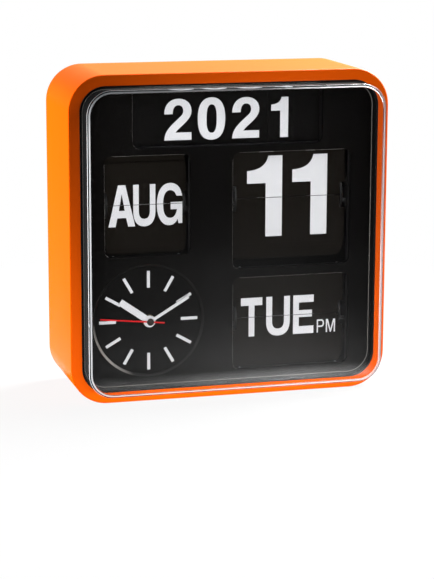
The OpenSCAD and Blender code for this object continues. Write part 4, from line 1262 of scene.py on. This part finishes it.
@dataclass
class Back:
    """Cover, doors, screws, knob and buttons on the wall side."""

    cover: float = 51.5
    cover_in: float = 49.0
    soft: Rounding = Rounding(0.3)
    rib_share: float = 0.55
    rib_height: float = 1.2
    rib_corner: float = 0.55
    rib_facets: int = 4
    rib_sink: float = 0.1
    rib_proud: float = 0.6
    rib_first: float = 6.0
    rib_pitch: float = 2.6
    screw_reach: float = 107.35
    head: float = 2.8
    head_top: float = 52.5
    head_dome: Spans = ((0.0, 0.0), (0.72, 0.0), (0.92, 0.15), (1.0, 0.5))
    head_steps: int = 32
    cross_arm: float = 1.5
    cross_half: float = 0.32
    cross_depth: float = 0.6
    cut_merge: float = 1e-4
    knob_rim: float = 1.6
    knob_dish: float = 0.7
    button_dish: Spans = (
        (0.0, 0.25), (1.6, 0.2), (2.6, 0.05), (3.3, 0.0), (3.8, 0.2), (4.0, 0.5),
    )
    button_play: float = 0.3
    button_flange: float = 1.4
    button_stem: float = 1.5
    button_steps: int = 40

    def build(self) -> None:
        """Softens the cover and builds what shows on it."""
        doors = {"calendar_cell_door": 5, "clock_cell_door": 4}
        for node, body in (("back_cover", "clock"), *((door, door) for door in doors)):
            shape = Shape.of_node(node)
            shape.bevel(shape.sharp_edges(self.cover), self.soft)
            # Inner faces are painted black: painted shade inside the case
            shape.mark(self.is_inner_shade)
            shape.piece(f"{node}_soft", body, Slot.ORANGE, (node,), True, (FINISHES[Slot.BLACK],))
        for door, ribs in doors.items():
            self.build_grips(door, ribs)
        self.build_screws()
        self.build_knob()
        for name in READINGS:
            self.build_button(name)

    def is_inner_shade(self, face: Face) -> bool:
        """True for a face on the inside of the cover or a door, which is painted black as shade."""
        return face.calc_center_median().y < self.cover_in + NEAR

    def build_grips(self, door: str, count: int) -> None:
        """Raises thumb ribs near the upper end of a door.

        Args:
            door: The door's node, which is also its body.
            count: How many ribs.
        """
        low, high = (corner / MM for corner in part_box(door))
        middle = (low.x + high.x) / 2
        size = (self.rib_share * (high.x - low.x), self.rib_height)
        depth = (self.cover - self.rib_sink, self.cover + self.rib_proud)
        shape = Shape()
        for step in range(count):
            centre = (middle, high.z - self.rib_first - self.rib_pitch * step)
            shape.slab(size, self.rib_corner, depth, centre, self.rib_facets)
        shape.bevel(shape.sharp_edges(depth[1]), self.soft)
        shape.piece(f"{door}_grip", door, Slot.ORANGE)

    def build_screws(self) -> None:
        """Turns the pan heads and sinks a cross into each."""
        shape = Shape()
        profile = domed(self.head, self.head_top, self.cover, self.head_dome)
        for side in (-self.screw_reach, self.screw_reach):
            for level in (-self.screw_reach, self.screw_reach):
                centre = (MIDDLE[0] + side, MIDDLE[1] + level)
                shape.spun(profile, centre, self.head_steps)
                self.sink_cross(shape, centre)
        shape.piece("back_screw_heads", "clock", Slot.STEEL)

    def sink_cross(self, shape: Shape, centre: Span) -> None:
        """Cuts a cross recess into a flat screw head.

        Args:
            shape: The shape with the head.
            centre: The head's middle in X and Z.
        """
        bm = shape.bm
        top = Vector((centre[0], self.head_top, centre[1]))
        for normal in (Vector((1, 0, 0)), Vector((0, 0, 1))):
            for side in (-self.cross_arm, -self.cross_half, self.cross_half, self.cross_arm):
                near = [face for face in bm.faces if self.is_on_top(face, top)]
                geom = list(dict.fromkeys(part for face in near for part in (*face.verts, *face.edges, face)))
                bmesh.ops.bisect_plane(
                    bm, geom=geom, dist=self.cut_merge, plane_co=top + side * normal, plane_no=normal,
                )
        shape.push([face for face in bm.faces if self.is_in_cross(face, top)], -self.cross_depth)

    def is_on_top(self, face: Face, top: Vector) -> bool:
        """True for a face of a head's flat top."""
        middle = face.calc_center_median()
        return abs(middle.y - top.y) < NEAR and (middle - top).length < self.head

    def is_in_cross(self, face: Face, top: Vector) -> bool:
        """True for a face of the cross on a head's flat top."""
        away = face.calc_center_median() - top
        least, most = sorted((abs(away.x), abs(away.z)))
        return abs(away.y) < NEAR and least < self.cross_half and most < self.cross_arm

    def build_knob(self) -> None:
        """Dishes the ribbed setting knob."""
        shape = Shape.of_node("set_knob")
        dish = shape.inset(shape.wall(BACK, self.cover), self.knob_rim)
        shape.push([dish], -self.knob_dish)
        shape.piece("set_knob_dished", "knob", Slot.BLACK, ("set_knob",))

    def build_button(self, name: str) -> None:
        """Turns a set button with a dished top.

        Args:
            name: The reading that it sets.
        """
        low, high = (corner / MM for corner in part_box(f"{name}_button"))
        centre = ((low.x + high.x) / 2, (low.z + high.z) / 2)
        flange = (high.x - low.x) / 2
        shoulder = self.cover_in - self.button_play
        root = shoulder - self.button_flange
        stem = self.button_stem
        profile = [(radius, high.y - fall) for radius, fall in self.button_dish]
        profile += [(profile[-1][0], shoulder), (flange, shoulder), (flange, root)]
        profile += [(stem, root), (stem, low.y), (0.0, low.y)]
        shape = Shape()
        shape.spun(profile, centre, self.button_steps)
        shape.piece(f"{name}_button_cap", f"{name}_button", Slot.BUTTON, (f"{name}_button",))


class Lit(Enum):
    """Which things a lamp lights."""

    ALL = "all"
    NO_FLOOR = "no_floor"
    NO_CASE = "no_case"
    CASE = "case"


@dataclass(frozen=True)
class Lamp:
    """A softbox: where it hangs, the point that it faces, its size in metres and its power in watts."""

    name: str
    spot: Spot
    aim: Spot
    size: Span
    power: float
    lit: Lit = Lit.ALL

    def hang(self, groups: dict[Lit, bpy.types.Collection]) -> None:
        """Hangs the lamp; one that lights only some things stays unseen in gloss.

        Args:
            groups: The things that each kind of lamp lights or leaves dark.
        """
        light = bpy.data.lights.new(self.name, "AREA")
        light.shape = "RECTANGLE"
        light.size, light.size_y = self.size
        light.energy = self.power
        made = bpy.data.objects.new(self.name, light)
        made.location = self.spot
        made.rotation_euler = (Vector(self.aim) - Vector(self.spot)).to_track_quat("-Z", "Y").to_euler()
        if self.lit is not Lit.ALL:
            made.visible_camera = False
            made.visible_glossy = False
            made.visible_transmission = False
            made.light_linking.receiver_collection = groups[self.lit]
        bpy.context.scene.collection.objects.link(made)


LAMPS = (
    Lamp("top_softbox", (0.65, 0.3, 0.9), (0.0, 0.0, 0.15), (0.6, 0.6), 64.0),
    Lamp("side_card", (0.8, -0.03, 0.42), (0.0, -0.03, 0.1), (0.3, 0.3), 3.0),
    Lamp("left_softbox", (-0.8, 0.25, 0.09), (-0.12, 0.02, 0.1), (0.3, 0.16), 20.0, Lit.NO_FLOOR),
    Lamp("front_strip", (-0.22, -0.55, 0.1), (0.0, -0.03, 0.1), (0.4, 0.18), 3.9, Lit.NO_CASE),
    Lamp("low_card", (-0.02, -0.2, 0.012), (-0.02, -0.03, 0.012), (0.24, 0.02), 0.72, Lit.CASE),
    Lamp("high_card", (0.2, -0.3, 0.48), (0.05, -0.03, 0.22), (0.2, 0.2), 0.9, Lit.CASE),
)


@dataclass
class Studio:
    """Floor, lamps, world and camera; tones are places in metres, or shares of the way round, with a grey;
    the floor's tones paint a pool of light.
    """

    eye: Spot = (-0.39461, -1.40604, 0.38421)
    yaw: float = 15.604
    pitch: float = 12.005
    roll: float = 0.198
    lens: float = 123.86
    sensor: float = 36.0
    sight: float = 50.0
    floor_half: float = 3.0
    floor_drop: float = 0.2 * MM
    paper: Colour = (0.6, 0.6, 0.6)
    ahead: Spans = (
        (0.08, 0.8), (0.085, 0.02), (0.1035, 0.02), (0.107, 1.0), (0.119, 0.9), (0.134, 0.45),
        (0.145, 0.18), (0.24, 0.115), (0.384, 0.056), (0.534, 0.052), (0.658, 0.024), (0.95, 0.005),
    )
    aside: Spans = (
        (0.19, 0.04), (0.3, 0.075), (0.335, 0.55), (0.39, 0.68), (0.436, 1.0), (0.5, 0.85), (0.53, 0.58),
        (0.56, 0.4), (0.62, 0.35),
    )
    aside_slant: float = 0.275
    aside_shift: float = 0.459
    beside: Spans = ((0.0805, 1.0), (0.083, 0.08))
    beside_slant: float = 0.37
    beside_from: float = -0.06
    glow: Spans = ((0.1, 0.92), (0.5, 1.0))
    room_depth: Spans = ((0.1, 0.004), (0.25, 0.02), (0.42, 0.25), (1.0, 0.5))
    room_width: Spans = ((0.38, 0.1), (0.6, 1.0))

    def build(self) -> None:
        """Sets the stage and the camera."""
        self.add_camera()
        floor = self.add_floor()
        self.add_world()
        groups = self.lit_groups(floor)
        for lamp in LAMPS:
            lamp.hang(groups)
        bpy.context.scene.view_settings.view_transform = "Standard"

    def lit_groups(self, floor: bpy.types.Object) -> dict[Lit, bpy.types.Collection]:
        """The things that lamps light or leave dark.

        Args:
            floor: The floor.

        Returns:
            A collection for each kind of lamp that doesn't light everything.
        """
        case = bpy.data.objects["case_body"]
        groups = {}
        for lit, things in ((Lit.NO_FLOOR, [floor]), (Lit.NO_CASE, [floor, case]), (Lit.CASE, [case])):
            groups[lit] = bpy.data.collections.new(f"lamp_{lit.value}")
            for thing in things:
                groups[lit].objects.link(thing)
            for member in groups[lit].collection_objects:
                member.light_linking.link_state = "INCLUDE" if lit is Lit.CASE else "EXCLUDE"
        return groups

    def add_camera(self) -> None:
        """Stands the camera where the photograph was taken."""
        made = bpy.data.objects.new("camera", bpy.data.cameras.new("camera"))
        made.data.lens = self.lens
        made.data.sensor_width = self.sensor
        made.data.clip_end = self.sight
        yaw = Matrix.Rotation(math.radians(-self.yaw), 4, "Z")
        turn = yaw @ Matrix.Rotation(math.radians(90 - self.pitch), 4, "X")
        roll = Matrix.Rotation(math.radians(self.roll), 4, "Z")
        made.matrix_world = Matrix.Translation(self.eye) @ turn @ roll
        bpy.context.scene.collection.objects.link(made)
        bpy.context.scene.camera = made

    def add_floor(self) -> bpy.types.Object:
        """Lays a pale floor just under the clock.

        Returns:
            The floor.
        """
        bm = bmesh.new()
        bmesh.ops.create_grid(bm, x_segments=4, y_segments=4, size=self.floor_half)
        bmesh.ops.translate(bm, vec=(0.0, 0.0, -self.floor_drop), verts=bm.verts)
        mesh = bpy.data.meshes.new("floor")
        bm.to_mesh(mesh)
        bm.free()
        floor = bpy.data.objects.new("floor", mesh)
        bpy.context.scene.collection.objects.link(floor)
        made = bpy.data.materials.new("floor_paper")
        made.use_nodes = True
        self.draw_paper_and_pool(Tree(made.node_tree))
        mesh.materials.append(made)
        return floor

    def draw_paper_and_pool(self, tree: Tree) -> None:
        """Draws paper that is white to the camera and keeps the shadow; to other rays its tone is a painted
        pool of light that darkens away from the clock.
        """
        away = tree.node("ShaderNodeVectorMath", {"operation": "LENGTH"}, {0: tree.place()}, "Value")
        right = tree.axis("X")
        back = tree.axis("Y")
        # A painted pool of light: bright close in front, dark just under the lens, fading further out and to
        # the sides
        ahead = tree.greys(0.0 - back, self.ahead)
        slanted = right + self.aside_slant * tree.maths("MINIMUM", back, 0.0) + self.aside_shift
        wide = tree.blend(1.0, ahead, tree.greys(slanted, self.aside), "MULTIPLY")
        beside = tree.greys(right + self.beside_slant * back, self.beside)
        in_front = tree.maths("LESS_THAN", back, self.beside_from)
        tone = tree.blend(in_front, wide, beside, "MULTIPLY")
        seen = tree.ray("Is Camera Ray")
        paper = tree.node("ShaderNodeBsdfDiffuse", {}, {"Color": tree.blend(seen, tone, self.paper)})
        white = tree.node("ShaderNodeEmission", {}, {"Color": WHITE, "Strength": 1.0})
        glow = seen * tree.greys(away, self.glow)
        tree.surface(tree.node("ShaderNodeMixShader", {}, {0: glow, 1: paper, 2: white}))

    def add_world(self) -> None:
        """White to the camera and through clear pieces, elsewhere bright behind and dim in front."""
        world = bpy.data.worlds.new("studio")
        world.use_nodes = True
        bpy.context.scene.world = world
        tree = Tree(world.node_tree)
        way = tree.node("ShaderNodeTexCoord", out="Generated")
        depth = tree.greys(0.5 + 0.5 * tree.axis("Y", way), self.room_depth)
        width = tree.greys(0.5 + 0.5 * tree.axis("X", way), self.room_width)
        room = tree.blend(1.0, depth, width, "MULTIPLY")
        direct = tree.maths("LESS_THAN", tree.ray("Diffuse Depth"), 0.5)
        seen = tree.ray("Is Camera Ray") + tree.ray("Is Transmission Ray") * direct
        colour = tree.blend(seen, room, WHITE)
        light = tree.node("ShaderNodeBackground", {}, {"Color": colour, "Strength": 1.0})
        tree.node("ShaderNodeOutputWorld", {}, {"Surface": light})


def dress_nodes(record: dict, nodes: dict[str, bpy.types.Object]) -> None:
    """Gives every CAD node its own finish, or else that of its slot.

    Args:
        record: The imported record.
        nodes: The CAD nodes by name.
    """
    for part in record["subparts"]:
        mesh = nodes[part["node"]].data
        mesh.materials.clear()
        finish = NODE_LOOKS.get(part["node"], FINISHES[Slot(part["material_slot"])])
        mesh.materials.append(finish.material())
        LOG.info("%s: %s", part["node"], part["material_slot"])


def flaps() -> tuple[Flap, Flap, Flap]:
    """The three readings with their present and coming prints.

    Returns:
        Month, date and day.
    """
    month = Flap(
        "month", split=143.7, count=12, pin_circle=10.0,
        now=(
            Sign("A", -88.7, -68.8, 128.0, 158.5),
            Sign("U", -70.2, -53.7, 127.7, 158.5),
            Sign("G", -52.6, -33.5, 127.7, 158.9),
        ),
        coming=(
            Sign("S", -87.6, -70.6, 127.7, 158.9),
            Sign("E", -68.0, -53.0, 128.0, 158.5),
            Sign("P", -50.4, -34.0, 128.0, 158.5),
        ),
    )
    date = Flap(
        "date", split=145.1, count=31, pin_circle=16.0,
        now=(Sign("1", 15.6, 42.6, 116.0, 176.2), Sign("1", 50.4, 77.5, 116.0, 176.2)),
        coming=(Sign("1", 9.0, 36.0, 116.0, 176.2), Sign("2", 43.5, 84.0, 116.0, 176.2)),
    )
    day = Flap(
        "day", split=55.2, count=14, pin_circle=11.0,
        now=(
            Sign("T", 11.5, 28.1, 40.5, 70.0),
            Sign("U", 31.2, 49.7, 40.0, 70.0),
            Sign("E", 52.3, 68.4, 40.4, 70.0),
            Sign("p", 71.1, 76.8, 40.4, 50.5),
            Sign("m", 78.3, 85.6, 40.4, 50.5),
        ),
        coming=(
            Sign("W", 9.5, 31.0, 40.4, 70.0),
            Sign("E", 33.5, 48.5, 40.4, 70.0),
            Sign("D", 51.5, 68.4, 40.4, 70.0),
            Sign("a", 70.7, 77.2, 40.4, 50.5),
            Sign("m", 78.3, 85.6, 40.4, 50.5),
        ),
    )
    return month, date, day


def main() -> None:
    """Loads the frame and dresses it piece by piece."""
    logging.basicConfig(level=logging.INFO, format="%(name)s: %(message)s")
    FRAME.update(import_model())
    dress_nodes(FRAME["record"], FRAME["nodes"])
    for part in (Case(), Lens(), Panel(), *flaps(), Year(), Dial(), Back(), Studio()):
        part.build()


if __name__ == "__main__":
    main()
